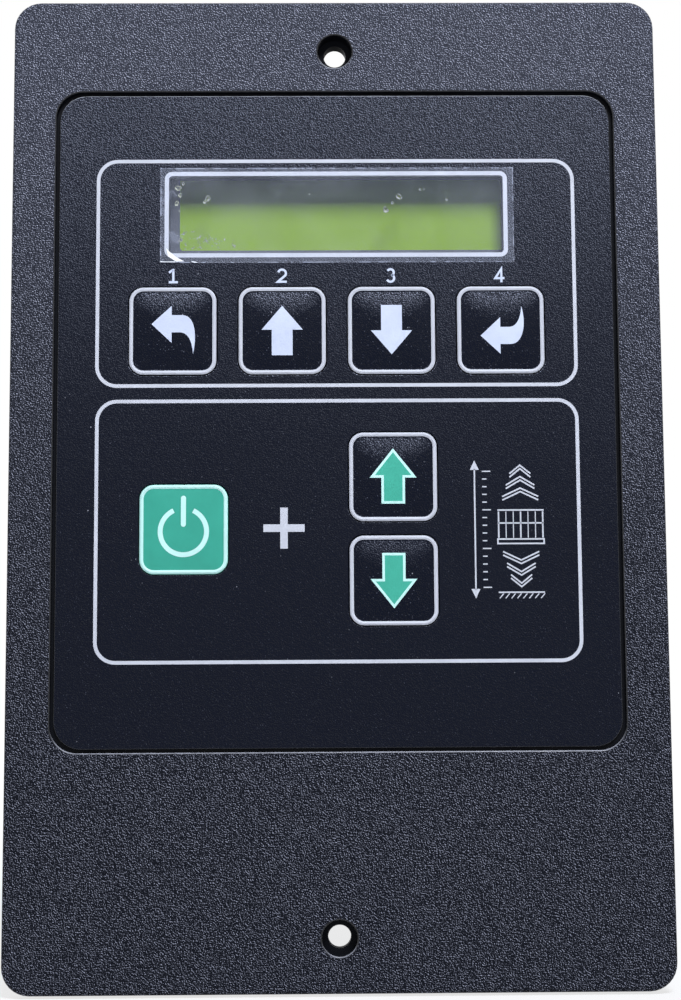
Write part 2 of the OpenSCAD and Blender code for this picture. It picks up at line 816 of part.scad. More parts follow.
// Moulded rear housing with screw wells, ribs and two header cut-outs
module rear_housing() {
    well_z = rear_rim_z - web_t;
    color([0.13, 0.13, 0.14]) difference() {
        union() {
            difference() {
                translate([0, recess_up]) rotate([0, 180, 0])
                    soft_block(spigot_w, spigot_h, rear_corner_r, -rear_rim_z, -rear_face_z, rear_edge_r);
                translate([0, recess_up]) plate(
                    spigot_in_w, spigot_in_h, rear_corner_r - rear_wall,
                    rear_face_z + rear_wall, rear_rim_z + overrun
                );
            }
            at_columns() post(column_d, rear_face_z + rear_edge_r, rear_rim_z);
            for (share = [-0.6, -0.36, -0.12, 0.12, 0.36, 0.6])
                translate([
                    share * spigot_w / 2 - rib_t / 2,
                    recess_up - spigot_h * 0.36,
                    rear_face_z - rear_rib_h
                ]) cube([rib_t, spigot_h * 0.72, rear_rib_h + rear_wall / 2]);
        }
        at_columns() {
            post(rear_screw_hole_d, rear_face_z - overrun, rear_rim_z + overrun);
            post(screw_well_d, rear_face_z - overrun, well_z);
        }
        at_headers() translate([0, rear_wall / 2, 0]) rotate([90, 0, 0]) plate(
            header_plug_w + 2 * header_hole_fit, header_plug_d + 2 * header_hole_fit,
            header_corner_r - shroud_wall + header_hole_fit, -rear_wall, rear_wall
        );
        at_headers() for (side = [-1, 1])
            translate([side * header_screw_x, -overrun, 0]) rotate([-90, 0, 0])
                cylinder(d = header_screw_d + 2 * pilot_fit, h = rear_wall + 2 * overrun);
    }
}

// Screws that pull the rear housing onto the spigot
module rear_screws() {
    color([0.7, 0.7, 0.72]) at_columns() translate([0, 0, rear_rim_z - web_t]) pan_screw(
        rear_screw_d, web_t + seal_t + rear_screw_bite, rear_screw_head_d, rear_screw_head_t
    );
}

// Puts a child at the outer face of the bottom wall, behind each header
module at_headers() {
    for (side = [-1, 1]) translate([side * header_pitch / 2, header_y, header_z]) children();
}

// Puts a child at every contact of one header, in the header's own frame
module at_contacts(row) {
    for (i = [0:pins_in_row - 1])
        translate([(i - (pins_in_row - 1) / 2) * pin_pitch, (0.5 - row) * row_pitch]) children();
}

// Distance from the wall's outer face to the bend of a row's tails
function tail_reach(row) = rear_wall + header_block_l + tail_step + row * tail_stagger;

// Puts a child at every place where a contact meets the main board
module at_tails() {
    at_headers()
        for (row = [0, 1], i = [0:pins_in_row - 1])
            translate([(i - (pins_in_row - 1) / 2) * pin_pitch, tail_reach(row), -header_z]) children();
}

// One header: flange, shroud with its latches, and the block that carries the contacts
module header(side) {
    block_end = -header_seal_t - rear_wall - header_block_l;
    latch_t = shroud_wall * 0.7;
    translate([side * header_pitch / 2, header_y - header_seal_t, header_z]) rotate([90, 0, 0])
        difference() {
            union() {
                plate(header_flange_w, header_flange_d, header_corner_r, 0, header_flange_t);
                plate(shroud_w, shroud_d, header_corner_r, 0, header_flange_t + shroud_l);
                plate(
                    header_plug_w, header_plug_d, header_corner_r - shroud_wall,
                    block_end, header_flange_t
                );
                for (sx = [-1, 1])
                    translate([
                        sx * shroud_w / 4 - latch_t, -shroud_d / 2 - latch_t,
                        header_flange_t + shroud_l * 0.45
                    ]) cube([2 * latch_t, 2 * latch_t, shroud_l * 0.4]);
            }
            plate(
                header_plug_w, header_plug_d, header_corner_r - shroud_wall,
                header_flange_t, header_flange_t + shroud_l + overrun
            );
            for (sx = [-1, 1])
                translate([sx * header_screw_x, 0])
                    post(header_screw_d + 2 * pilot_fit, -overrun, header_flange_t + overrun);
            for (row = [0, 1])
                at_contacts(row)
                    post(pin_d + 2 * pilot_fit, block_end - overrun, header_flange_t + overrun);
        }
}

// Contacts of one header: round pins in the shroud, square tails bent up to the main board
module header_pins(side) {
    translate([side * header_pitch / 2, header_y - header_seal_t, header_z]) rotate([90, 0, 0])
        for (row = [0, 1])
            at_contacts(row) {
                bend_z = -header_seal_t - tail_reach(row);
                block_end = -header_seal_t - rear_wall - header_block_l;
                rise = board_z - header_z - (0.5 - row) * row_pitch;
                post(pin_d, block_end, header_flange_t + pin_reach - pin_d / 2);
                translate([0, 0, header_flange_t + pin_reach - pin_d / 2])
                    cylinder(d1 = pin_d, d2 = pin_d / 2, h = pin_d / 2);
                translate([-tail_t / 2, -tail_t / 2, bend_z - tail_t / 2])
                    cube([tail_t, tail_t, block_end - bend_z + tail_t]);
                translate([-tail_t / 2, -tail_t / 2, bend_z - tail_t / 2])
                    cube([tail_t, rise + tail_t, tail_t]);
            }
}

// Grey header on the left
module grey_connector() {
    color([0.45, 0.46, 0.47]) header(-1);
}

// Black header on the right
module black_connector() {
    color([0.07, 0.07, 0.07]) header(1);
}

// Contacts of the grey header
module grey_connector_pins() {
    color([0.8, 0.68, 0.35]) header_pins(-1);
}

// Contacts of the black header
module black_connector_pins() {
    color([0.8, 0.68, 0.35]) header_pins(1);
}

// Seals between the headers and the rear housing
module connector_seals() {
    color([0.5, 0.2, 0.12]) at_headers() rotate([90, 0, 0]) difference() {
        plate(header_flange_w, header_flange_d, header_corner_r, 0, header_seal_t);
        plate(
            header_plug_w + 2 * header_hole_fit, header_plug_d + 2 * header_hole_fit,
            header_corner_r - shroud_wall + header_hole_fit, -overrun, header_seal_t + overrun
        );
        for (sx = [-1, 1])
            translate([sx * header_screw_x, 0])
                post(header_screw_d + 2 * pilot_fit, -overrun, header_seal_t + overrun);
    }
}

// Screws that hold the headers
module connector_screws() {
    reach = header_flange_t + header_seal_t + rear_wall - pilot_fit;
    color([0.75, 0.75, 0.78]) at_headers()
        for (sx = [-1, 1])
            translate([sx * header_screw_x, -header_seal_t - header_flange_t, 0]) rotate([-90, 0, 0])
                pan_screw(header_screw_d, reach, header_screw_head_d, header_screw_head_t);
}

upright() front_housing();
upright() graphic_overlay();
upright() overlay_adhesive();
upright() display_window();
upright() window_film();
upright() black_key(BACK);  // key_back
upright() black_key(UP);  // key_up
upright() black_key(DOWN);  // key_down
upright() black_key(ENTER);  // key_enter
upright() green_key(POWER);  // key_power
upright() black_key(RAISE);  // key_raise
upright() black_key(LOWER);  // key_lower
upright() plunger(BACK);  // plunger_back
upright() plunger(UP);  // plunger_up
upright() plunger(DOWN);  // plunger_down
upright() plunger(ENTER);  // plunger_enter
upright() plunger(POWER);  // plunger_power
upright() plunger(RAISE);  // plunger_raise
upright() plunger(LOWER);  // plunger_lower
upright() switches();
upright() main_board();
upright() board_screws();
upright() lcd_frame();
upright() lcd_glass();
upright() lcd_backlight();
upright() lcd_board();
upright() lcd_spacers();
upright() lcd_screws();
upright() lcd_header();
upright() controller_chip();
upright() driver_chips();
upright() capacitors();
upright() relays();
upright() sounder();
upright() rear_seal();
upright() rear_housing();
upright() rear_screws();
upright() grey_connector();
upright() black_connector();
upright() grey_connector_pins();
upright() black_connector_pins();
upright() connector_seals();
upright() connector_screws();
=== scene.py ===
# Dresses the packed control box: moulded grain, printed keypad, display, clear film and rear housing.
# Lengths are metres, in the frame of the packed model. Drawings on the keypad are in millimetres.
import json
import math

import bmesh
import bpy
from mathutils import Euler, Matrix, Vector, noise


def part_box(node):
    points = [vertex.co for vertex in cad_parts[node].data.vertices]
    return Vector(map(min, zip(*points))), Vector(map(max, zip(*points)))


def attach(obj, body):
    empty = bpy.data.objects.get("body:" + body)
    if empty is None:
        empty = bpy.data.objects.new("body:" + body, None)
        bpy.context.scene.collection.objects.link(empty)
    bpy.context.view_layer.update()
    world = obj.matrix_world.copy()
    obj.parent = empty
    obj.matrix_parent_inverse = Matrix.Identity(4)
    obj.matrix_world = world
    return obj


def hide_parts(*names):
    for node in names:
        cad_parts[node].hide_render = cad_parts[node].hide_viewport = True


bl_info = {
    "name": "Lift control box",
    "version": (1, 0, 0),
    "blender": (4, 5, 0),
    "location": "3D View > Sidebar > Control box",
    "description": "Dresses a scissor lift's control box around its packed model",
    "category": "Object",
}

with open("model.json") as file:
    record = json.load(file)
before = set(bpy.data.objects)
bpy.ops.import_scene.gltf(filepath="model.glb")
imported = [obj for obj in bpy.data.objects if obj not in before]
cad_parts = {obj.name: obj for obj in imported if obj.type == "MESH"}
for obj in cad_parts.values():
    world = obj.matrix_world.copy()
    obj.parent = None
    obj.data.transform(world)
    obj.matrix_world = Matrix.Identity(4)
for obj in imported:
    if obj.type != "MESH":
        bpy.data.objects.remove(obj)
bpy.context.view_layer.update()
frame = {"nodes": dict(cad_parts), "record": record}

MM = 0.001
KEYS = ("back", "up", "down", "enter", "power", "raise", "lower")

# Front faces of the housing and of the keypad sheet, and the edge that the box stands on
FACE_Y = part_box("front_housing")[0].y
SHEET_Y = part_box("graphic_overlay")[0].y
FOOT_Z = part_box("front_housing")[0].z

# Rounding of the sheet's edge, and how far in from its outline that edge gets the pale lip finish with its
# painted highlight
SHEET_LIP = 0.12 * MM
SHEET_EDGE_REACH = 1.7 * MM

# Faces of the housing between these depths, and this far inside its outline, count as sunk and get a
# near-black painted shade
SUNK_LEAST = 0.02 * MM
SUNK_MOST = 6.1 * MM
SUNK_INSIDE = 2 * MM

# Rounding of the rear housing's back edges
REAR_LIP = 0.25 * MM

# Hidden border of the pane behind the sheet, and how far the film stops short at its right edge
PANE_BORDER = 2.0 * MM
FILM_TRIM = 0.85 * MM

# Spacing of the film's points, and its thickness
FILM_STEP = 0.28 * MM
FILM_T = 0.03 * MM

# What the film, its bubbles and its creases stand off from what is under them, in millimetres
FILM_GAP = 0.04
BUBBLE_GAP = 0.05
CREASE_GAP = 0.08

# Thickness of the ink, corner and rim of a key, and longest edge of a symbol's mesh, in millimetres
INK_T = 0.02
KEY_R = 2.9
RIM_W = 0.85
SYMBOL_STEP = 0.9

# Half the side of the floor, and its gap under the box
FLOOR_REACH = 6.0
FLOOR_GAP = 0.5 * MM


# Settings that a user would change

class LiftBoxCamera(bpy.types.PropertyGroup):
    """Where the picture is taken from."""
    eye: bpy.props.FloatVectorProperty(
        name="Eye", description="Place of the lens", subtype="XYZ", unit="LENGTH",
        default=(-0.0038, FACE_Y - 0.3556, -0.04408))
    turn: bpy.props.FloatVectorProperty(
        name="Turn", description="Rotation of the camera", subtype="EULER", unit="ROTATION",
        default=(math.radians(96.5096), math.radians(0.3488), math.radians(-0.6748)))
    lens: bpy.props.FloatProperty(
        name="Lens", description="Focal length in millimetres on a 36 mm frame", default=64.8)


class LiftBoxLight(bpy.types.PropertyGroup):
    """Soft studio light."""
    tint: bpy.props.FloatVectorProperty(
        name="Tint", description="Colour of the lamps", subtype="COLOR", default=(0.86, 0.9, 1.0))
    key_place: bpy.props.FloatVectorProperty(
        name="Key place", description="Place of the main lamp", subtype="XYZ", unit="LENGTH",
        default=(0.16, -0.58, 0.73))
    key_power: bpy.props.FloatProperty(
        name="Key power", description="Power of the main lamp", unit="POWER", default=10.0)
    key_width: bpy.props.FloatProperty(
        name="Key width", description="Side of the main lamp", unit="LENGTH", default=0.32)
    fill_place: bpy.props.FloatVectorProperty(
        name="Fill place", description="Place of the fill lamp", subtype="XYZ", unit="LENGTH",
        default=(-0.7, -0.6, 0.05))
    fill_power: bpy.props.FloatProperty(
        name="Fill power", description="Power of the fill lamp", unit="POWER", default=0.6)
    back_place: bpy.props.FloatVectorProperty(
        name="Back place", description="Place of the lamp behind the box", subtype="XYZ", unit="LENGTH",
        default=(-0.55, 0.8, 0.6))
    back_power: bpy.props.FloatProperty(
        name="Back power", description="Power of the lamp behind the box", unit="POWER", default=3.0)
    wide_width: bpy.props.FloatProperty(
        name="Wide width", description="Side of the fill lamp and the back lamp", unit="LENGTH",
        default=0.6)
    room: bpy.props.FloatProperty(
        name="Room", description="Strength of the light from all round", default=0.145)


class LiftBoxHousing(bpy.types.PropertyGroup):
    """Moulded plastic of the housings."""
    colour: bpy.props.FloatVectorProperty(
        name="Colour", description="Charcoal of the moulding", subtype="COLOR",
        default=(0.002, 0.003, 0.007))
    # Painted sheen: the lighter charcoal of the upper part, in place of the lamp's sheen
    bloom: bpy.props.FloatVectorProperty(
        name="Sheen", description="Greyer charcoal of its upper part", subtype="COLOR",
        default=(0.029, 0.032, 0.045))
    # Painted highlight: colour of the worms' flanks that face the lamp
    spark: bpy.props.FloatVectorProperty(
        name="Spark", description="Lit flanks of the grain", subtype="COLOR",
        default=(0.45, 0.47, 0.57))
    # Painted highlight: pale colour of the lips, shown where they face up
    edge: bpy.props.FloatVectorProperty(
        name="Edge", description="Lips where the grain is rubbed off", subtype="COLOR",
        default=(0.26, 0.27, 0.31))
    grain: bpy.props.FloatProperty(
        name="Grain", description="Size of one worm of the spark grain", unit="LENGTH", default=0.00028)
    lip: bpy.props.FloatProperty(
        name="Lip", description="Rounding of the recess and the holes", unit="LENGTH", default=0.00026)


class LiftBoxKeypad(bpy.types.PropertyGroup):
    """Printed keypad sheet and its keys."""
    sheet: bpy.props.FloatVectorProperty(
        name="Sheet", description="Blue-black of the sheet", subtype="COLOR",
        default=(0.0012, 0.0028, 0.0095))
    # Painted sheen: the lighter tone of the sheet's upper part, in place of the lamp's sheen
    bloom: bpy.props.FloatVectorProperty(
        name="Sheen", description="Greyer tone of its upper part", subtype="COLOR",
        default=(0.011, 0.013, 0.021))
    # Painted highlight: colour of the texture's flanks that face the lamp
    spark: bpy.props.FloatVectorProperty(
        name="Spark", description="Lit flanks of the sheet's texture", subtype="COLOR",
        default=(0.3, 0.322, 0.4))
    # Painted highlight: pale colour of the sheet's cut edge, shown where it faces up
    edge: bpy.props.FloatVectorProperty(
        name="Edge", description="Cut edge of the sheet", subtype="COLOR", default=(0.5, 0.52, 0.58))
    white: bpy.props.FloatVectorProperty(
        name="White", description="White ink", subtype="COLOR", default=(0.59, 0.61, 0.67))
    pale: bpy.props.FloatVectorProperty(
        name="Pale", description="Bluish white ink of the digits and the large symbols",
        subtype="COLOR", default=(0.62, 0.68, 0.84))
    teal: bpy.props.FloatVectorProperty(
        name="Teal", description="Ground of the power key", subtype="COLOR",
        default=(0.035, 0.36, 0.26))
    green: bpy.props.FloatVectorProperty(
        name="Green", description="Ink of the raise and lower arrows", subtype="COLOR",
        default=(0.05, 0.42, 0.3))
    mint: bpy.props.FloatVectorProperty(
        name="Mint", description="Ink of the power symbol and round the green arrows",
        subtype="COLOR", default=(0.58, 0.92, 0.85))
    line: bpy.props.FloatProperty(
        name="Line", description="Width of the printed frames", unit="LENGTH", default=0.00072)
    rim: bpy.props.FloatProperty(
        name="Rim", description="Height of the embossed rim of a key", unit="LENGTH", default=0.00022)
    crown: bpy.props.FloatProperty(
        name="Crown", description="Height of the pillow in the middle of a key", unit="LENGTH",
        default=0.0005)


class LiftBoxWindow(bpy.types.PropertyGroup):
    """Display, window and the film that was left on it."""
    green: bpy.props.FloatVectorProperty(
        name="Green", description="Ground of the display", subtype="COLOR",
        default=(0.325, 0.53, 0.01))
    lift: bpy.props.FloatProperty(
        name="Lift", description="How far the film's loose corner stands off", unit="LENGTH",
        default=0.00035)
    film_alpha: bpy.props.FloatProperty(
        name="Film haze", description="How much each face of the film hides", default=0.112, min=0, max=1)


GROUPS = {
    "lift_box_camera": LiftBoxCamera,
    "lift_box_light": LiftBoxLight,
    "lift_box_housing": LiftBoxHousing,
    "lift_box_keypad": LiftBoxKeypad,
    "lift_box_window": LiftBoxWindow,
}


# Node trees

class Wires:
    """Adds nodes to a tree and joins their sockets."""

    def __init__(self, tree):
        self.tree = tree

    def feed(self, node, values):
        """Sets sockets of a node by name or number; a socket given as a value is linked."""
        for name, value in values.items():
            if isinstance(value, bpy.types.NodeSocket):
                self.tree.links.new(value, node.inputs[name])
            else:
                node.inputs[name].default_value = value

    def add(self, kind, values=None, **settings):
        """Node of that kind, with its settings and its socket values."""
        node = self.tree.nodes.new(kind)
        for name, setting in settings.items():
            setattr(node, name, setting)
        self.feed(node, values or {})
        return node

    def math(self, operation, a, b=0.0, clamp=False):
        """Result of a Math node."""
        node = self.add("ShaderNodeMath", {0: a, 1: b}, operation=operation, use_clamp=clamp)
        return node.outputs[0]

    def ramp(self, value, low, high, out_low=0.0, out_high=1.0):
        """value taken from low..high to out_low..out_high with a soft start and end."""
        node = self.add(
            "ShaderNodeMapRange",
            {"Value": value, "From Min": low, "From Max": high, "To Min": out_low, "To Max": out_high},
            interpolation_type="SMOOTHSTEP")
        return node.outputs["Result"]

    def span(self, mask, low, high):
        """Mask of 0 to 1 taken to low..high."""
        return self.ramp(mask, 0.0, 1.0, low, high)

    def mix(self, share, a, b):
        """Colour between a and b."""
        return self.add("ShaderNodeMix", {0: share, 6: a, 7: b}, data_type="RGBA").outputs[2]

    def place(self):
        """Place on the piece, in the frame of the packed model."""
        return self.add("ShaderNodeTexCoord").outputs["Object"]

    def upright_place(self):
        """Place turned so that a flat pattern lies in the panel's plane."""
        return self.add("ShaderNodeMapping", {
            "Vector": self.place(), "Rotation": (math.pi / 2, 0, 0)}).outputs[0]

    def axes(self, vector):
        """X, Y and Z of a vector."""
        return self.add("ShaderNodeSeparateXYZ", {"Vector": vector}).outputs

    def facing_up(self, low, high):
        """Mask of faces that look up."""
        normal = self.add("ShaderNodeNewGeometry").outputs["Normal"]
        return self.ramp(self.axes(normal)["Z"], low, high)

    def edge_on(self, low, high, out_low, out_high):
        """Ramp from faces seen square on to faces seen edge on."""
        facing = self.add("ShaderNodeLayerWeight", {"Blend": 0.5}).outputs["Facing"]
        return self.ramp(facing, low, high, out_low, out_high)

    def seen(self):
        """Mask of rays that see a thing directly, in a reflection or through glass."""
        path = self.add("ShaderNodeLightPath").outputs
        second = self.math("MAXIMUM", path["Is Glossy Ray"], path["Is Transmission Ray"])
        return self.math("MAXIMUM", path["Is Camera Ray"], second)


def effect_group(name, inputs, output_names):
    """Empty shader group with named values; returns its tree, wires, given values and output node."""
    tree = bpy.data.node_groups.new(name, "ShaderNodeTree")
    for label, default in inputs:
        socket = tree.interface.new_socket(label, in_out="INPUT", socket_type="NodeSocketFloat")
        socket.default_value = default
    for label in output_names:
        tree.interface.new_socket(label, in_out="OUTPUT", socket_type="NodeSocketFloat")
    wires = Wires(tree)
    return tree, wires, wires.add("NodeGroupInput").outputs, wires.add("NodeGroupOutput")


def grain_group():
    """Worm-like spark grain. Crest marks the upper right flank of each worm, where it catches the lamp."""
    tree, w, given, result = effect_group(
        "Moulded grain", [("Scale", 3000.0), ("Fill", 0.03)], ["Height", "Crest"])
    cells = w.add("ShaderNodeVectorMath", {0: w.place(), "Scale": given["Scale"]}, operation="SCALE")
    here = cells.outputs["Vector"]
    ahead = w.add("ShaderNodeVectorMath", {0: here, 1: (0.32, 0.0, 0.38)}, operation="ADD")
    heights = []
    for spot in (here, ahead.outputs["Vector"]):
        worms = w.add("ShaderNodeTexNoise", {
            "Vector": spot, "Scale": 1.0, "Detail": 1.0, "Distortion": 0.3})
        heights.append(worms.outputs[0])
    flank = w.math("ADD", w.math("SUBTRACT", *heights), given["Fill"])
    w.feed(result, {"Height": heights[0], "Crest": w.ramp(flank, 0.03, 0.17)})
    return tree


def speck_group():
    """Sparse bright or dull specks, each of its own strength."""
    tree, w, given, result = effect_group(
        "Fine specks", [("Scale", 2200.0), ("Coverage", 0.06)], ["Mask"])
    cells = w.add("ShaderNodeTexVoronoi", {"Vector": w.place(), "Scale": given["Scale"]}).outputs
    chance = w.add("ShaderNodeSeparateColor", {"Color": cells["Color"]}).outputs
    chosen = w.math("LESS_THAN", chance[0], given["Coverage"])
    body = w.ramp(cells["Distance"], 0.15, 0.4, 1.0, 0.0)
    strength = w.math("MULTIPLY", chosen, chance[1])
    w.feed(result, {"Mask": w.math("MULTIPLY", body, strength)})
    return tree


def mottle_group():
    """Slow change of tone over a surface."""
    tree, w, given, result = effect_group("Soft mottle", [("Scale", 40.0)], ["Tone"])
    cloud = w.add("ShaderNodeTexNoise", {
        "Vector": w.place(), "Scale": given["Scale"], "Detail": 4.0, "Roughness": 0.6})
    w.feed(result, {"Tone": w.ramp(cloud.outputs[0], 0.3, 0.7)})
    return tree


def sheen_group():
    """Painted sheen: a share that rises towards the top, in soft clouds, in place of the lamp's sheen."""
    tree, w, given, result = effect_group("Grey bloom", [("Low", -0.07), ("High", 0.11)], ["Share"])
    place = w.place()
    cloud = w.add("ShaderNodeTexNoise", {"Vector": place, "Scale": 14.0, "Detail": 3.0})
    drift = w.math("MULTIPLY", w.math("SUBTRACT", cloud.outputs[0], 0.5), 0.05)
    level = w.math("ADD", w.axes(place)["Z"], drift)
    rise = w.ramp(level, given["Low"], given["High"])
    w.feed(result, {"Share": w.math("POWER", rise, 1.4)})
    return tree


EFFECTS = {"grain": grain_group, "specks": speck_group, "mottle": mottle_group, "bloom": sheen_group}
effect_trees = {}
finishes = {}


def effect(wires, kind, **values):
    """Outputs of a shared effect group, placed in a material with its own values."""
    if kind not in effect_trees:
        effect_trees[kind] = EFFECTS[kind]()
    node = wires.add("ShaderNodeGroup", node_tree=effect_trees[kind])
    wires.feed(node, {name.capitalize(): value for name, value in values.items()})
    return node.outputs


def blank_finish(name):
    """New node material, kept among the finishes; returns its wires and its Principled shader."""
    material = bpy.data.materials.new(name)
    material.use_nodes = True
    finishes[name] = material
    return Wires(material.node_tree), material.node_tree.nodes["Principled BSDF"]


def shade(colour, factor=1.0):
    """Colour made lighter or darker, with full alpha."""
    return (*(min(1.0, part * factor) for part in colour[:3]), 1.0)


def bump(wires, shader, height, strength, depth):
    """Joins a height to the shader's normal through a Bump node."""
    node = wires.add("ShaderNodeBump", {"Height": height, "Strength": strength, "Distance": depth})
    wires.feed(shader, {"Normal": node.outputs["Normal"]})


def moulded(name, colour, bloom, spark, rough=0.5, grain=0.0005, depth=0.00003, specular=0.1):
    """Moulded plastic with spark grain, a painted sheen that makes it lighter towards the top, painted
    highlights on the lit flanks of its worms, and a few pale specks.
    """
    w, shader = blank_finish(name)
    worm = effect(w, "grain", scale=1.0 / grain, fill=-0.048)
    sheen_share = effect(w, "bloom")["Share"]
    dust = effect(w, "specks", scale=1.6 / grain, coverage=0.02)["Mask"]
    # Painted light: the valleys go from the charcoal to the painted sheen towards the top, and the flanks
    # that face the lamp are painted as highlights that grow brighter towards the top
    valley = w.mix(sheen_share, shade(colour), shade(bloom))
    flank = w.mix(sheen_share, shade(spark, 0.62), shade(spark, 0.93))
    ground = w.mix(worm["Crest"], valley, flank)
    w.feed(shader, {
        "Base Color": w.mix(dust, ground, shade(spark, 1.5)),
        "Roughness": w.span(worm["Crest"], rough + 0.12, rough),
        "Specular IOR Level": specular})
    bump(w, shader, worm["Height"], 1.0, depth)


def lip_highlight_finish(name, colour):
    """Edge without grain, rubbed smooth, with a painted highlight: pale where it faces up towards the lamps
    and nearly black where it faces down.
    """
    w, shader = blank_finish(name)
    tone = effect(w, "mottle", scale=900.0)["Tone"]
    lip_highlight = w.mix(tone, shade(colour, 0.7), shade(colour, 1.3))
    w.feed(shader, {
        "Base Color": w.mix(w.facing_up(0.1, 0.7), shade(colour, 0.07), lip_highlight),
        "Roughness": w.span(tone, 0.2, 0.42),
        "Specular IOR Level": 0.3})
    bump(w, shader, tone, 0.3, 0.00001)


def printed_ink(name, colour, rough):
    """Screen-printed ink: even, with the sheet's fine texture under it."""
    w, shader = blank_finish(name)
    worm = effect(w, "grain", scale=4200.0)
    tone = effect(w, "mottle", scale=160.0)["Tone"]
    w.feed(shader, {
        "Base Color": w.mix(tone, shade(colour, 0.94), shade(colour, 1.03)),
        "Roughness": w.span(tone, rough, rough + 0.08),
        "Specular IOR Level": 0.35})
    bump(w, shader, worm["Height"], 0.25, 0.00001)


def sheet_finish(name, keypad, rough, sparkle, specular, low, high):
    """Textured polyester: dark and finely grained, with sparse dust specks and painted light. The painted
    light is a sheen that is lighter towards the top and on slopes that face up, highlights on the lit flanks
    of its texture, and glints.

    low and high are the levels between which its painted sheen sets in."""
    w, shader = blank_finish(name)
    worm = effect(w, "grain", scale=4400.0, fill=-0.02)
    sheen_share = effect(w, "bloom", low=low, high=high)["Share"]
    glint = effect(w, "specks", scale=3000.0, coverage=sparkle)["Mask"]
    dust = effect(w, "specks", scale=2300.0, coverage=0.0022)["Mask"]
    # Painted sheen on slopes that face up towards the lamp, stronger on the upper keys
    sheen_by_height = w.ramp(w.axes(w.place())["Z"], -0.03, 0.04, 0.4, 1.35)
    shoulder_sheen = w.math("MULTIPLY", w.facing_up(0.0, 0.12), sheen_by_height)
    share = w.math("ADD", sheen_share, shoulder_sheen)
    # Painted sheen towards the top and on slopes that face up
    valley = w.mix(w.math("MINIMUM", share, 1.0), shade(keypad.sheet), shade(keypad.bloom))
    # Painted highlight on the flanks that face the lamp, brighter where the painted sheen is
    flank = w.add(
        "ShaderNodeVectorMath", {0: keypad.spark, "Scale": w.math("ADD", share, 0.05)},
        operation="SCALE")
    ground = w.mix(worm["Crest"], valley, flank.outputs["Vector"])
    # Painted glints: bright specks, more of them where the painted sheen is strong
    painted_glint = w.math("MULTIPLY", glint, w.math("ADD", share, 0.24), clamp=True)
    lit = w.mix(painted_glint, ground, (0.42, 0.45, 0.56, 1.0))
    w.feed(shader, {
        "Base Color": w.mix(dust, lit, (0.42, 0.43, 0.48, 1.0)),
        "Roughness": w.span(worm["Crest"], rough + 0.08, rough),
        "Specular IOR Level": specular})
    bump(w, shader, worm["Height"], 1.0, 0.00005)


def plain_finish(name, colour, rough, metal=0.0, depth=0.00001, vary=0.12, specular=0.5):
    """Even finish of a small part, with fine texture and a slight change of tone and gloss."""
    w, shader = blank_finish(name)
    worm = effect(w, "grain", scale=1.0 / 0.0003)
    tone = effect(w, "mottle", scale=90.0)["Tone"]
    w.feed(shader, {
        "Base Color": w.mix(tone, shade(colour, 1 - vary), shade(colour, 1 + vary)),
        "Roughness": w.span(tone, rough - 0.07, rough + 0.07),
        "Metallic": metal,
        "Specular IOR Level": specular})
    bump(w, shader, worm["Height"], 0.35, depth)


def board_finish(name, colour):
    """Solder mask over copper tracks and rows of bare pads."""
    w, shader = blank_finish(name)
    tracks = w.add("ShaderNodeTexBrick", {
        "Vector": w.upright_place(), "Scale": 120.0, "Mortar Size": 0.06, "Mortar Smooth": 0.2,
        "Color1": shade(colour, 0.9), "Color2": shade(colour, 1.1), "Mortar": shade(colour, 1.9)})
    pads = effect(w, "specks", scale=420.0, coverage=0.05)["Mask"]
    tone = effect(w, "mottle", scale=60.0)["Tone"]
    w.feed(shader, {
        "Base Color": w.mix(pads, tracks.outputs["Color"], (0.62, 0.6, 0.55, 1.0)),
        "Roughness": w.span(tone, 0.22, 0.34)})
    bump(w, shader, tracks.outputs["Fac"], 0.3, 0.00003)


def clear_to_lamps(wires, veil):
    """Opacity that the camera sees, and that casts no shadow."""
    shadow = wires.add("ShaderNodeLightPath").outputs["Is Shadow Ray"]
    return wires.math("MULTIPLY", veil, wires.math("SUBTRACT", 1.0, shadow))


def pane_finish(name, tint, alpha, rough):
    """Clear plastic sheet, seen mainly by its gloss. To diffuse rays it is a dark, mostly opaque sheet that
    paints shade on the display by keeping room light off it.
    """
    w, shader = blank_finish(name)
    tone = effect(w, "mottle", scale=45.0)["Tone"]
    dust = effect(w, "specks", scale=900.0, coverage=0.01)["Mask"]
    veil = w.math(
        "ADD", w.span(tone, alpha * 0.8, alpha * 1.2), w.math("MULTIPLY", dust, 0.3), clamp=True)
    diffuse_shade = w.math("MULTIPLY", w.add("ShaderNodeLightPath").outputs["Is Diffuse Ray"], 0.75)
    w.feed(shader, {
        "Base Color": w.mix(tone, shade(tint, 0.92), shade(tint)),
        "Alpha": clear_to_lamps(w, w.math("MAXIMUM", veil, diffuse_shade)),
        "Roughness": w.span(tone, rough, rough + 0.05)})


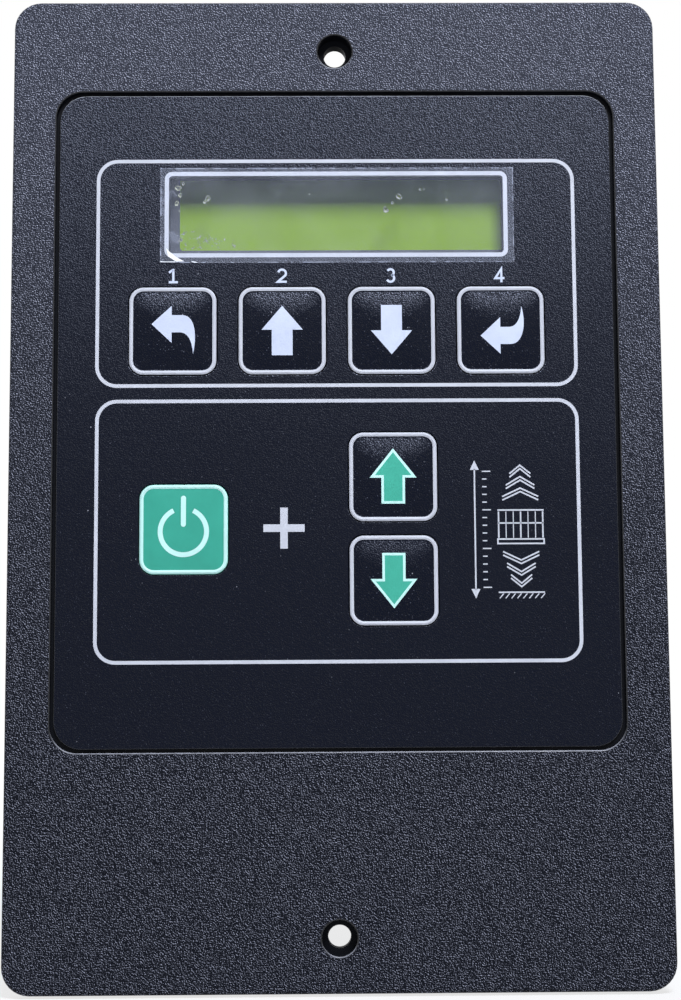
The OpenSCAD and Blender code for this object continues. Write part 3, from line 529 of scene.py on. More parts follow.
def film_finish(name, film, opening, haze):
    """Clear film: hazy where it lies on the textured sheet, with smudges and with painted light: pale edges
    as a highlight, glints at the lower left, and a reflection where it is seen edge on.
    """
    w, shader = blank_finish(name)
    axes = w.axes(w.place())
    corner = opening[0]

    def inwards(low, high):
        """Distance inwards from the edge of a box in the panel's plane."""
        middle, half = (low + high) / 2, (high - low) / 2
        gaps = []
        for axis, centre, reach in (("X", middle.x, half.x), ("Z", middle.z, half.z)):
            away = w.math("ABSOLUTE", w.math("SUBTRACT", axes[axis], centre))
            gaps.append(w.math("SUBTRACT", reach, away))
        return w.math("MINIMUM", *gaps)

    scuff = effect(w, "mottle", scale=420.0)["Tone"]
    cloud = effect(w, "mottle", scale=75.0)["Tone"]
    glint = effect(w, "specks", scale=2600.0, coverage=0.05)["Mask"]
    # Painted highlight along the film's cut edges, where they catch the light
    cut = w.math(
        "MULTIPLY", w.ramp(inwards(*film), 0.00006, 0.0003, 1.0, 0.0),
        w.ramp(scuff, 0.2, 0.9, 0.05, 0.35))
    on_sheet = w.math(
        "MULTIPLY", w.ramp(inwards(*opening), -0.0001, 0.0004, 1.0, 0.0), w.span(scuff, 0.0, 0.02))
    smudge = w.math(
        "MULTIPLY", w.ramp(axes["X"], corner.x + 0.0012, corner.x + 0.004, 1.0, 0.0),
        w.ramp(scuff, 0.62, 0.85, 0.0, 0.12))
    # Painted glints: bright specks over the lower left
    low_left = w.math(
        "MULTIPLY", w.ramp(axes["X"], corner.x + 0.008, corner.x + 0.014, 1.0, 0.08),
        w.ramp(axes["Z"], corner.z + 0.0035, corner.z + 0.006, 1.0, 0.08))
    veil = w.math("ADD", w.span(cloud, haze * 0.8, haze * 1.15), on_sheet)
    # The last part is a painted reflection: the film turns more opaque and pale where it is seen edge on
    for part in (cut, smudge, w.math("MULTIPLY", glint, low_left), w.edge_on(0.5, 0.95, 0.0, 0.4)):
        veil = w.math("ADD", veil, part, clamp=True)
    w.feed(shader, {
        "Base Color": w.mix(cloud, (0.68, 0.75, 0.95, 1.0), (0.78, 0.84, 1.0, 1.0)),
        "Alpha": clear_to_lamps(w, veil),
        "Roughness": w.span(scuff, 0.12, 0.24)})
    bump(w, shader, scuff, 0.2, 0.00002)


def display_finish(name, colour):
    """Yellow-green display: a satin polariser over faint rows of dots."""
    w, shader = blank_finish(name)
    dots = w.add("ShaderNodeTexBrick", {
        "Vector": w.upright_place(), "Scale": 820.0, "Mortar Size": 0.03, "Mortar Smooth": 0.3,
        "Brick Width": 0.5, "Row Height": 0.5, "Color1": shade(colour, 0.985),
        "Color2": shade(colour), "Mortar": shade(colour, 1.05)}, offset=0.0)
    tone = effect(w, "mottle", scale=70.0)["Tone"]
    grit = effect(w, "specks", scale=2400.0, coverage=0.25)["Mask"]
    ground = w.mix(tone, shade(colour, 0.92), dots.outputs["Color"])
    w.feed(shader, {
        "Base Color": w.mix(grit, ground, shade(colour, 1.3)),
        "Roughness": w.span(tone, 0.3, 0.4),
        "Specular IOR Level": 0.15})
    bump(w, shader, tone, 0.1, 0.00001)


def blister_finish(name):
    """Blister under the film, seen only by a painted reflection: pale yellow-green opacity on its rim where
    it is seen edge on.
    """
    w, shader = blank_finish(name)
    scuff = effect(w, "mottle", scale=1600.0)["Tone"]
    veil = w.math("MULTIPLY", w.edge_on(0.08, 0.4, 0.03, 0.45), w.ramp(scuff, 0.1, 0.8, 0.3, 1.0))
    w.feed(shader, {
        "Base Color": w.mix(scuff, (0.86, 0.94, 0.72, 1.0), (0.95, 0.99, 0.86, 1.0)),
        "Alpha": clear_to_lamps(w, veil),
        "Roughness": w.span(scuff, 0.1, 0.2)})


# Colour, roughness and other values of the even finishes
PLAIN_FINISHES = {
    # Near-black painted shade for the recess walls and the holes of the housing
    "housing_sunk_shade": ((0.0028, 0.0034, 0.0056), 0.6, {"vary": 0.3, "specular": 0.1}),
    "adhesive": ((0.5, 0.5, 0.46), 0.7, {}),
    "nylon": ((0.7, 0.7, 0.64), 0.5, {}),
    "switch_plastic": ((0.03, 0.03, 0.034), 0.42, {}),
    "screw_steel": ((0.6, 0.6, 0.62), 0.32, {"metal": 1.0}),
    "lcd_metal": ((0.09, 0.1, 0.13), 0.38, {}),
    "light_guide": ((0.8, 0.83, 0.75), 0.25, {}),
    "chip_resin": ((0.028, 0.028, 0.03), 0.55, {"depth": 0.00003}),
    "capacitor_sleeve": ((0.03, 0.035, 0.07), 0.3, {}),
    "relay_case": ((0.03, 0.09, 0.3), 0.3, {}),
    "seal_rubber": ((0.03, 0.03, 0.032), 0.72, {"depth": 0.00003}),
    "seal_silicone": ((0.42, 0.09, 0.035), 0.6, {"depth": 0.00002}),
    "contact_brass": ((0.78, 0.6, 0.28), 0.25, {"metal": 1.0}),
}


def window_edges():
    """Lowest and highest corner of the window opening, between the pane's hidden borders."""
    low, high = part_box("display_window")
    border = Vector((PANE_BORDER, 0, PANE_BORDER))
    return low + border, high - border


def film_edges():
    """Lowest and highest corner of the protective film."""
    low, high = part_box("window_film")
    high.x -= FILM_TRIM
    return low, high


def build_finishes(scene):
    """Every material of the box, under the name of its slot or ink."""
    housing, keypad, window = scene.lift_box_housing, scene.lift_box_keypad, scene.lift_box_window
    for name, bloom, spark in (
            ("housing_plastic", housing.bloom, housing.spark),
            ("rear_plastic", shade(housing.bloom, 0.3), shade(housing.spark, 0.5))):
        moulded(name, housing.colour, bloom, spark, grain=housing.grain, depth=0.00012)
    moulded(
        "header_grey", (0.17, 0.18, 0.19), (0.2, 0.21, 0.22), (0.24, 0.25, 0.26), rough=0.42,
        specular=0.3)
    moulded(
        "header_black", (0.014, 0.014, 0.016), (0.024, 0.024, 0.027), (0.04, 0.04, 0.045), rough=0.4,
        specular=0.25)
    lip_highlight_finish("housing_edge", housing.edge)
    lip_highlight_finish("overlay_edge", keypad.edge)
    sheet_finish(
        "overlay_film", keypad, rough=0.4, sparkle=0.12, specular=0.1, low=-0.025, high=0.125)
    sheet_finish("key_black", keypad, rough=0.34, sparkle=0.16, specular=0.08, low=0.02, high=0.4)
    # The near-white film finish in this list is no ink: it paints highlights on the film's fold and lower
    # edge
    for name, colour, rough in (
            ("key_green", keypad.teal, 0.38), ("print_white", keypad.white, 0.42),
            ("print_pale", keypad.pale, 0.42), ("print_green", keypad.green, 0.42),
            ("print_mint", keypad.mint, 0.42), ("film_crease_highlight", (0.92, 0.94, 1.0), 0.2)):
        printed_ink(name, colour, rough)
    pane_finish("clear_pane", (0.05, 0.055, 0.07), alpha=0.015, rough=0.08)
    film_finish("protective_film", film_edges(), window_edges(), window.film_alpha)
    blister_finish("film_blister")
    display_finish("lcd_glass", window.green)
    board_finish("board_green", (0.02, 0.14, 0.06))
    for name, (colour, rough, others) in PLAIN_FINISHES.items():
        plain_finish(name, colour, rough, **others)


# Pieces

def slot_of(node):
    """Slot that the record gives a node."""
    for part in frame["record"]["subparts"]:
        if part["node"] == node:
            return part["material_slot"]
    raise ValueError("no slot for " + node)


def body_of(node):
    """Body that carries a node."""
    for name, body in frame["record"]["behaviour"]["bodies"].items():
        if node in (body if isinstance(body, list) else body["nodes"]):
            return name
    raise ValueError("no body for " + node)


def paint(*nodes):
    """Gives carried-over nodes the finish of their slots."""
    for node in nodes:
        mesh = frame["nodes"][node].data
        mesh.materials.clear()
        mesh.materials.append(finishes[slot_of(node)])


def new_piece(name, mesh, finish, body, stands_for=()):
    """Object of a mesh that rides on a body, with its finish."""
    piece = bpy.data.objects.new(name, mesh)
    bpy.context.scene.collection.objects.link(piece)
    mesh.materials.clear()
    mesh.materials.append(finishes[finish])
    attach(piece, body)
    if stands_for:
        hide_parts(*stands_for)


def smooth_by_angle(mesh, angle=32.0):
    """Smooth shading, kept sharp where faces meet at more than that angle."""
    mesh.shade_smooth()
    mesh.set_sharp_from_angle(angle=math.radians(angle))


def mesh_of(solid, name, angle):
    """Mesh of a solid with its faces turned outwards, smooth up to that angle. The solid is used up."""
    bmesh.ops.recalc_face_normals(solid, faces=solid.faces)
    mesh = bpy.data.meshes.new(name)
    solid.to_mesh(mesh)
    solid.free()
    smooth_by_angle(mesh, angle)
    return mesh


def bridge(solid, a, b, closed=True):
    """Faces between two rows that have as many vertices."""
    for i in range(len(a) if closed else len(a) - 1):
        j = (i + 1) % len(a)
        solid.faces.new((a[i], a[j], b[j], b[i]))


def is_lip(edge, planes):
    """Whether an edge lies in one of the Y planes and turns sharply."""
    near = 0.01 * MM
    a, b = (vert.co.y for vert in edge.verts)
    in_plane = any(abs(a - y) < near and abs(b - y) < near for y in planes)
    return in_plane and len(edge.link_faces) == 2 and edge.calc_face_angle(0) > math.radians(50)


def softened(node, planes, radius, edge_finish=None, edge_reach=1.0, sunk_shade_finish=None):
    """Copy of a node's mesh whose lips in the given Y planes are rounded, standing for the node.

    edge_finish goes on lips that are less than edge_reach inside the piece's outline, by default
    on all of them, and sunk_shade_finish, a painted shade, on the other faces that are set back from the
    front."""
    mesh = frame["nodes"][node].data.copy()
    mesh.name = node + "_soft"
    solid = bmesh.new()
    solid.from_mesh(mesh)
    bmesh.ops.remove_doubles(solid, verts=solid.verts, dist=0.002 * MM)
    bmesh.ops.dissolve_limit(
        solid, angle_limit=math.radians(0.6), verts=solid.verts, edges=solid.edges)
    bmesh.ops.bevel(
        solid, geom=[edge for edge in solid.edges if is_lip(edge, planes)], offset=radius,
        offset_type="OFFSET", segments=3, profile=0.5, affect="EDGES", clamp_overlap=False,
        material=1 if edge_finish else -1)
    bmesh.ops.triangulate(solid, faces=[face for face in solid.faces if len(face.verts) > 4])
    solid.to_mesh(mesh)
    solid.free()
    smooth_by_angle(mesh)
    marks = []
    low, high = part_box(node)
    for face in mesh.polygons:
        if max(abs(part) for part in face.normal) > 0.99999:
            face.use_smooth = False
        middle = face.center
        depth = middle.y - low.y
        inside = min(middle.x - low.x, high.x - middle.x, middle.z - low.z, high.z - middle.z)
        mark = face.material_index
        if mark == 1 and inside > edge_reach:
            mark = 0
        if sunk_shade_finish and mark == 0 and SUNK_LEAST < depth < SUNK_MOST and inside > SUNK_INSIDE:
            mark = 2
        marks.append(mark)
    new_piece(node + "_soft", mesh, slot_of(node), body_of(node), [node])
    for finish in filter(None, (edge_finish, sunk_shade_finish)):
        mesh.materials.append(finishes[finish])
    mesh.polygons.foreach_set("material_index", marks)


# Lines in keypad millimetres

def moved(points, x, z):
    """Line moved to another place."""
    return [(px + x, pz + z) for px, pz in points]


def arc(x, z, radius, start, end, steps=40):
    """Points along an arc, angles in degrees."""
    angles = [math.radians(start + (end - start) * i / steps) for i in range(steps + 1)]
    return [(x + radius * math.cos(angle), z + radius * math.sin(angle)) for angle in angles]


def rounded_loop(w, h, r):
    """Points of a rounded rectangle about the origin, anticlockwise."""
    points = []
    for quarter, (sx, sz) in enumerate(((1, 1), (-1, 1), (-1, -1), (1, -1))):
        points += arc(sx * (w / 2 - r), sz * (h / 2 - r), r, 90 * quarter, 90 * quarter + 90, 10)
    return points


def inset_loop(w, h, r, inset):
    """Rounded rectangle moved inwards by inset, with a corner that never becomes sharp."""
    half, least_share = min(w, h) / 2 - inset, 0.25
    return rounded_loop(w - 2 * inset, h - 2 * inset, max(r - inset, least_share * half))


def curve_points(a, b, c, d):
    """Points along a cubic curve after a, up to d."""
    steps = 14
    points = []
    for i in range(1, steps + 1):
        t = i / steps
        u = 1 - t
        points.append(tuple(
            u ** 3 * a[k] + 3 * u * u * t * b[k] + 3 * u * t * t * c[k] + t ** 3 * d[k] for k in (0, 1)))
    return points


def offset_line(points, distance, closed):
    """Line moved to its left by distance, with mitred corners."""
    shifted = []
    count = len(points)
    for i, point in enumerate(points):
        before = points[i - 1] if closed or i > 0 else None
        after = points[(i + 1) % count] if closed or i < count - 1 else None
        normals = []
        for start, end in ((before, point), (point, after)):
            if start is None or end is None:
                continue
            run = Vector(end) - Vector(start)
            if run.length > 1e-9:
                normals.append(Vector((-run.y, run.x)).normalized())
        normal = sum(normals, Vector((0, 0)))
        normal.normalize()
        sharpest = 0.35
        reach = distance / max(sharpest, normal.dot(normals[0]))
        shifted.append((point[0] + normal.x * reach, point[1] + normal.y * reach))
    return shifted


def inner_outline(outline, border):
    """Outline moved inwards by a border."""
    area = sum(
        outline[i - 1][0] * outline[i][1] - outline[i][0] * outline[i - 1][1]
        for i in range(len(outline)))
    return offset_line(outline, border if area > 0 else -border, True)


class Drawing:
    """Flat shapes in keypad millimetres that become a thin closed layer of ink."""

    def __init__(self):
        self.flat = bmesh.new()

    def loop(self, points):
        """Vertices of one outline."""
        return [self.flat.verts.new((x, 0.0, z)) for x, z in points]

    def band(self, outer, inner, closed=True):
        """Faces between two lines that have as many points."""
        bridge(self.flat, self.loop(outer), self.loop(inner), closed)

    def fill(self, outline):
        """Filled outline."""
        ring = self.loop(outline)
        edges = [self.flat.edges.new((ring[i - 1], ring[i])) for i in range(len(ring))]
        bmesh.ops.triangle_fill(self.flat, use_beauty=True, use_dissolve=False, edges=edges)

    def stroke(self, points, width, closed=False):
        """Line of one width."""
        self.band(
            offset_line(points, -width / 2, closed), offset_line(points, width / 2, closed), closed)

    def frame(self, left, right, low, high, radius, width):
        """Rounded rectangle whose line runs along the given middle lines."""
        x, z = (left + right) / 2, (low + high) / 2
        w, h = right - left, high - low
        self.band(
            moved(rounded_loop(w + width, h + width, radius + width / 2), x, z),
            moved(rounded_loop(w - width, h - width, radius - width / 2), x, z))

    def refine(self, longest):
        """Splits long edges, so that the ink can follow a curved face."""
        for _ in range(4):
            long_edges = [edge for edge in self.flat.edges if edge.calc_length() > longest]
            if not long_edges:
                return
            bmesh.ops.subdivide_edges(self.flat, edges=long_edges, cuts=1)
            bmesh.ops.triangulate(self.flat, faces=self.flat.faces)

    def piece(self, name, finish, body="housing", slot="print_white", height=None):
        """Closed layer of ink on the sheet, or on a surface whose height over the sheet is given."""
        top = self.flat.faces[:]
        bmesh.ops.recalc_face_normals(self.flat, faces=top)
        for face in top:
            face.normal_update()
            if face.normal.y > 0:
                face.normal_flip()
        grown = bmesh.ops.extrude_face_region(self.flat, geom=top)
        back = {vert for vert in grown["geom"] if isinstance(vert, bmesh.types.BMVert)}
        for vert in self.flat.verts:
            rise = height(vert.co.x, vert.co.z) if height else 0.0
            level = rise if vert in back else rise + INK_T
            vert.co = Vector((vert.co.x * MM, SHEET_Y - level * MM, vert.co.z * MM))
        new_piece(name, mesh_of(self.flat, name, 40.0), finish, body)


# Keys

class KeyForm:
    """Embossed key: its place, outline and the height of its surface over the sheet, in millimetres."""

    def __init__(self, which, rim, crown):
        low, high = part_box("key_" + which)
        self.x, self.z = (low.x + high.x) / 2 / MM, (low.z + high.z) / 2 / MM
        self.w, self.h = (high.x - low.x) / MM, (high.z - low.z) / MM
        self.back = high.y
        self.rim, self.crown = rim / MM, crown / MM

    def loop(self, inset):
        """Outline of the key, moved inwards by inset."""
        return moved(inset_loop(self.w, self.h, KEY_R, inset), self.x, self.z)

    def inset(self, x, z):
        """Distance inwards from the key's edge."""
        dx = abs(x - self.x) - (self.w / 2 - KEY_R)
        dz = abs(z - self.z) - (self.h / 2 - KEY_R)
        outside = math.hypot(max(dx, 0), max(dz, 0))
        return KEY_R - outside - min(max(dx, dz), 0)

    def height(self, x, z):
        """Height over the sheet: a soft lip, a round rim and a pillow."""
        ground, rim_spread, lip_reach = 0.06, 0.3, 0.16
        inset = max(0.0, self.inset(x, z))
        u, v = abs(2 * (x - self.x) / self.w), abs(2 * (z - self.z) / self.h)
        pillow = max(0.0, 1 - u ** 3) * max(0.0, 1 - v ** 3)
        base = ground + (self.crown - ground) * pillow
        ridge = self.rim * math.exp(-((inset - RIM_W / 2) / rim_spread) ** 2)
        lip = min(1.0, inset / lip_reach)
        return (base + ridge) * lip * (2 - lip) if lip < 1 else base + ridge


# Distances from a key's edge at which its mesh has a row of vertices
INSETS = (0.0, 0.04, 0.09, 0.16, 0.24, 0.32, 0.42, 0.52, 0.62, 0.72, 0.84, 0.96, 1.1, 1.3, 1.6, 2.0,
          2.5, 3.1, 3.8, 4.6, 5.4, 6.2, 7.0, 7.8, 8.4)


def key_mesh(form):
    """Closed mesh of a key, from its edge inwards to the middle of the pillow."""
    solid = bmesh.new()
    rows = [
        [solid.verts.new((x * MM, SHEET_Y - form.height(x, z) * MM, z * MM)) for x, z in form.loop(inset)]
        for inset in INSETS]
    foot = [solid.verts.new((vert.co.x, form.back, vert.co.z)) for vert in rows[0]]
    for a, b in zip([foot] + rows, rows):
        bridge(solid, a, b)
    solid.faces.new(rows[-1])
    solid.faces.new(foot[::-1])
    return mesh_of(solid, "key_pad", 45.0)


def straight_symbol(tip, head, half_head, half_shaft, tail):
    """Straight arrow along z, with its tip, head and tail at the given heights."""
    return [
        (0.0, tip), (half_head, head), (half_shaft, head), (half_shaft, tail),
        (-half_shaft, tail), (-half_shaft, head), (-half_head, head)]


# Outlines of the symbols about the middle of their keys: back and enter turn to the left
SYMBOLS = {
    "back": [
        (-4.25, 1.33), (-0.2, 5.05), (-0.2, 3.15), (2.0, 3.15),
        *curve_points((2.0, 3.15), (4.6, 3.1), (4.9, -1.2), (4.1, -4.8)),
        *curve_points((4.1, -4.8), (3.9, -2.3), (3.2, -0.38), (1.4, -0.38)),
        (-0.2, -0.38), (-0.2, -2.5)],
    "enter": [
        (-4.1, -1.25), (-0.1, 2.5), (-0.1, 0.5), (1.6, 0.5),
        *curve_points((1.6, 0.5), (3.2, 0.5), (4.0, 2.2), (4.2, 4.8)),
        *curve_points((4.2, 4.8), (5.1, 1.8), (4.8, -3.0), (1.9, -3.0)),
        (-0.1, -3.0), (-0.1, -5.0)],
    "up": straight_symbol(5.0, 0.1, 4.15, 2.1, -5.1),
    "down": straight_symbol(-5.0, -0.1, 4.15, 2.1, 5.1),
    "raise": straight_symbol(5.66, -0.25, 4.69, 2.35, -5.45),
    "lower": straight_symbol(-5.61, 0.25, 4.65, 2.3, 5.42),
}

# Width of the ink round the two green arrows
SYMBOL_BORDER = 0.5


def power_symbol(drawing):
    """Open ring with a bar in its gap."""
    x, ring_z, bar_top, bar_foot = -30.57, -9.64, -2.96, -8.2
    drawing.stroke(arc(x, ring_z, 4.6, 115, 425, 72), 0.98)
    drawing.fill(arc(x, bar_top, 0.5, 0, 180, 12) + arc(x, bar_foot, 0.5, 180, 360, 12))


# Prints on the sheet

# Middle lines of the two frames, as left, right, low and high, and their corner
FRAMES = ((-48.05, 48.2, 19.75, 66.0), (-47.95, 48.15, -35.5, 16.6))
FRAME_R = 4.0

# The same of the line round the window, with its corner and its width
WINDOW_LINE = (-34.21, 34.47, 46.47, 63.39, 1.1, 0.86)

# Middle lines of the digits 1 to 4 about their own centres, their places and their line
DIGITS = (
    ([(-0.85, 0.72), (-0.05, 1.26), (0.02, 1.26), (0.02, -1.05)], [(-0.9, -1.26), (0.94, -1.26)]),
    ([*arc(0.0, 0.5, 0.78, 165, -35, 16), (-0.82, -1.22), (0.95, -1.22)],),
    (arc(-0.08, 0.63, 0.66, 150, -78, 16), arc(-0.08, -0.56, 0.74, 72, -155, 16)),
    ([(0.95, -0.62), (-0.9, -0.62), (0.33, 1.3), (0.33, -0.4)], [(0.33, -0.84), (0.33, -1.48)]),
)
DIGIT_X = (-32.85, -10.89, 11.10, 33.12)
DIGIT_Z = 42.2
DIGIT_LINE = 0.46


def plus_outline(x, z, reach, half):
    """Plus sign about a place, with the reach and half the width of its arms."""
    return moved([
        (-half, half), (-half, reach), (half, reach), (half, half), (reach, half), (reach, -half),
        (half, -half), (half, -reach), (-half, -reach), (-half, -half), (-reach, -half),
        (-reach, half)], x, z)


def height_gauge(drawing):
    """Height gauge: a scale with a double arrow beside a railed tray that goes up and down."""
    line = 0.3
    foot, head = -23.2, 4.4
    left, right = 31.9, 41.1
    middle = (left + right) / 2

    # Scale with its double arrow
    drawing.stroke([(27.4, foot + 1.7), (27.4, head - 1.7)], line)
    for tip, way in ((head, -1), (foot, 1)):
        drawing.fill([(26.5, tip + way * 1.9), (28.3, tip + way * 1.9), (27.4, tip)])
    for i in range(16):
        z = foot + 2.2 + i * (head - foot - 4.4) / 15
        drawing.stroke([(28.9, z), (30.6 if i % 5 == 0 else 29.8, z)], line * 0.8)

    # Three chevrons that point up and three that point down
    for i in range(3):
        for way, start in ((1, -3.6), (-1, -13.9)):
            z = start + way * i * 2.3
            reach = 3.6 - 0.75 * i
            for gap in (0.0, 0.7):
                drawing.stroke([
                    (middle - reach, z + way * gap), (middle, z + way * (1.7 + gap)),
                    (middle + reach, z + way * gap)], line)

    # Tray with its rails
    floor, rail = -11.4, -5.6
    drawing.stroke(
        [(left, floor - 0.9), (right, floor - 0.9), (right, floor), (left, floor)], line, closed=True)
    for i in range(7):
        x = left + 0.2 + i * (right - left - 0.4) / 6
        drawing.stroke([(x, floor + 0.25), (x, rail - 0.3)], line if i % 3 == 0 else line * 0.6)
    for z in (rail, (rail + floor) / 2 + 0.3):
        drawing.stroke([(left, z), (right, z)], line)

    # Ground
    drawing.stroke([(left, foot + 1.2), (right, foot + 1.2)], line)
    for i in range(8):
        x = left + 0.2 + i * (right - left - 1.0) / 7
        drawing.stroke([(x, foot), (x + 0.8, foot + 0.95)], line * 0.7)


# Film over the window

# Bubbles under the film: place in keypad millimetres and radius
BUBBLES = (
    (-25.9, 58.2, 0.62), (-26.5, 57.5, 0.36), (12.9, 58.5, 0.6), (10.2, 55.8, 0.62), (11.6, 57.2, 0.3),
    (17.2, 60.0, 0.25), (18.0, 60.1, 0.22), (22.6, 57.9, 0.25), (-31.9, 60.4, 0.62), (-31.5, 58.9, 0.45),
    (-32.2, 57.2, 0.5), (-30.9, 61.3, 0.34), (-31.6, 55.6, 0.26), (-27.4, 50.4, 0.2), (-26.0, 49.2, 0.22),
    (-31.4, 49.6, 0.42), (-30.7, 51.0, 0.3), (5.2, 60.9, 0.18), (-5.3, 59.1, 0.16))

# Painted highlights where the film's folded corner and its lower edge catch the light
CREASE_HIGHLIGHTS = (
    [(-34.3, 48.0), (-33.7, 47.3), (-32.3, 46.15), (-30.6, 45.2), (-32.2, 45.1), (-33.9, 46.2)],
    [(-35.4, 45.2), (-34.6, 45.12), (-32.4, 45.16), (-32.4, 45.0), (-35.4, 44.98)],
    [(-29.0, 45.25), (-28.2, 45.1), (-27.9, 44.95), (-28.6, 44.95), (-29.2, 45.1)])


def film_rise(x, z, corner, lift):
    """Height of the film over the sheet at a place, with its loose lower left corner at corner."""
    loose_reach, edge_reach, least_depth = 2.3, 0.5, 0.12
    up = z - corner.z
    away = math.hypot((x - corner.x) / 1.5, up)
    loose = lift * math.exp(-(away / loose_reach) ** 2)
    waves = 0.02 * (1 + noise.noise(Vector((x * 0.22, z * 0.5, 3.0))))
    ruffle = 0.05 * math.exp(-(up / edge_reach) ** 2) * max(0.0, noise.noise(Vector((x * 0.6, 7.0, 0.0))))
    return min(loose + waves + ruffle, (SHEET_Y - FACE_Y) / MM - least_depth)


def froth():
    """Small bubbles over the lower left corner of the display, thinning out to the right."""
    spots = []
    for i in range(54):
        along, up, size = (math.sin(i * step + 1.3) * 4375.5 % 1.0 for step in (12.99, 78.23, 37.72))
        spots.append((-30.6 + 10.5 * along ** 1.4, 47.6 + 4.6 * up * (1 - 0.6 * along), 0.1 + 0.09 * size))
    return spots


def blister(solid, x, z, radius, level):
    """Adds a flat-bottomed dome with a slightly uneven rim."""
    steps, flatness = 14, 0.4
    rings = []
    for share in (1.0, 0.92, 0.76, 0.52, 0.26):
        height = level + flatness * radius * math.sqrt(1 - share * share)
        ring = []
        for i in range(steps):
            angle = 2 * math.pi * i / steps
            uneven = 1 + 0.16 * math.sin(2 * angle + 9 * x) + 0.1 * math.sin(3 * angle + 5 * z)
            reach = radius * share * uneven
            ring.append(solid.verts.new((
                (x + reach * math.cos(angle)) * MM, SHEET_Y - height * MM,
                (z + reach * math.sin(angle)) * MM)))
        rings.append(ring)
    for a, b in zip(rings, rings[1:]):
        bridge(solid, a, b)
    top = solid.verts.new((x * MM, SHEET_Y - (level + flatness * radius) * MM, z * MM))
    for i in range(steps):
        solid.faces.new((rings[-1][i], rings[-1][(i + 1) % steps], top))
    solid.faces.new(rings[0][::-1])


# Operators

class LIFTBOX_OT_finishes(bpy.types.Operator):
    """Materials of every piece."""
    bl_idname = "liftbox.finishes"
    bl_label = "Finishes"

    def execute(self, context):
        build_finishes(context.scene)
        return {"FINISHED"}


class LIFTBOX_OT_stage(bpy.types.Operator):
    """Floor, background, lamps and camera."""
    bl_idname = "liftbox.stage"
    bl_label = "Stage"

    def execute(self, context):
        scene = context.scene
        settings, light = scene.lift_box_camera, scene.lift_box_light
        data = bpy.data.cameras.new("camera")
        data.lens = settings.lens
        data.sensor_fit = "AUTO"
        data.sensor_width = 36.0
        data.clip_start = 0.01
        camera = bpy.data.objects.new("camera", data)
        camera.location = settings.eye
        camera.rotation_euler = Euler(settings.turn)
        scene.collection.objects.link(camera)
        scene.camera = camera
        self.lamp(scene, "key_lamp", light.key_place, light.key_power, light.key_width)
        self.lamp(scene, "fill_lamp", light.fill_place, light.fill_power, light.wide_width)
        self.lamp(scene, "back_lamp", light.back_place, light.back_power, light.wide_width)
        self.floor(scene)
        self.room(scene)
        scene.view_settings.view_transform = "Standard"
        return {"FINISHED"}

    def lamp(self, scene, name, place, power, width):
        """Square soft lamp aimed at the middle of the panel."""
        data = bpy.data.lights.new(name, "AREA")
        data.shape = "SQUARE"
        data.size = width
        data.energy = power
        data.color = scene.lift_box_light.tint
        lamp = bpy.data.objects.new(name, data)
        lamp.location = place
        lamp.rotation_euler = (-Vector(place)).to_track_quat("-Z", "Y").to_euler()
        scene.collection.objects.link(lamp)

    def floor(self, scene):
        """Pale floor that the box stands on. It fades to white away from the box."""
        mesh = bpy.data.meshes.new("floor")
        level = FOOT_Z - FLOOR_GAP
        corners = [(-1, -1), (1, -1), (1, 1), (-1, 1)]
        mesh.from_pydata([(x * FLOOR_REACH, y * FLOOR_REACH, level) for x, y in corners], [], [(0, 1, 2, 3)])
        w, shader = blank_finish("floor")
        tone = effect(w, "mottle", scale=6.0)["Tone"]
        w.feed(shader, {
            "Base Color": w.mix(tone, (0.86, 0.86, 0.87, 1), (0.9, 0.9, 0.91, 1)), "Roughness": 0.9})
        white = w.add("ShaderNodeEmission", {"Color": (1, 1, 1, 1), "Strength": 1.05})
        far = w.add("ShaderNodeVectorMath", {0: w.place()}, operation="LENGTH")
        share = w.ramp(far.outputs["Value"], 0.15, 0.7, 0.7, 1.0)
        both = w.add("ShaderNodeMixShader", {
            0: w.math("MULTIPLY", share, w.seen()), 1: shader.outputs[0], 2: white.outputs[0]})
        w.feed(w.tree.nodes["Material Output"], {"Surface": both.outputs[0]})
        mesh.materials.append(finishes["floor"])
        floor = bpy.data.objects.new("floor", mesh)
        scene.collection.objects.link(floor)

    def room(self, scene):
        """Plain light from all round, white where it is seen directly."""
        world = bpy.data.worlds.new("room")
        world.use_nodes = True
        scene.world = world
        w = Wires(world.node_tree)
        soft = w.tree.nodes["Background"]
        w.feed(soft, {"Color": (0.95, 0.97, 1.0, 1.0), "Strength": scene.lift_box_light.room})
        white = w.add("ShaderNodeBackground", {"Color": (1, 1, 1, 1), "Strength": 1.0})
        both = w.add("ShaderNodeMixShader", {0: w.seen(), 1: soft.outputs[0], 2: white.outputs[0]})
        w.feed(w.tree.nodes["World Output"], {"Surface": both.outputs[0]})


class LIFTBOX_OT_housing(bpy.types.Operator):
    """Front housing with rounded lips round the recess, the holes and the rear edges."""
    bl_idname = "liftbox.housing"
    bl_label = "Front housing"

    def execute(self, context):
        back_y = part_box("front_housing")[1].y
        # The lips get a painted highlight where they face up, and the sunk faces get a painted shade
        softened("front_housing", (FACE_Y, 0.0, back_y), context.scene.lift_box_housing.lip,
                 "housing_edge", sunk_shade_finish="housing_sunk_shade")
        return {"FINISHED"}


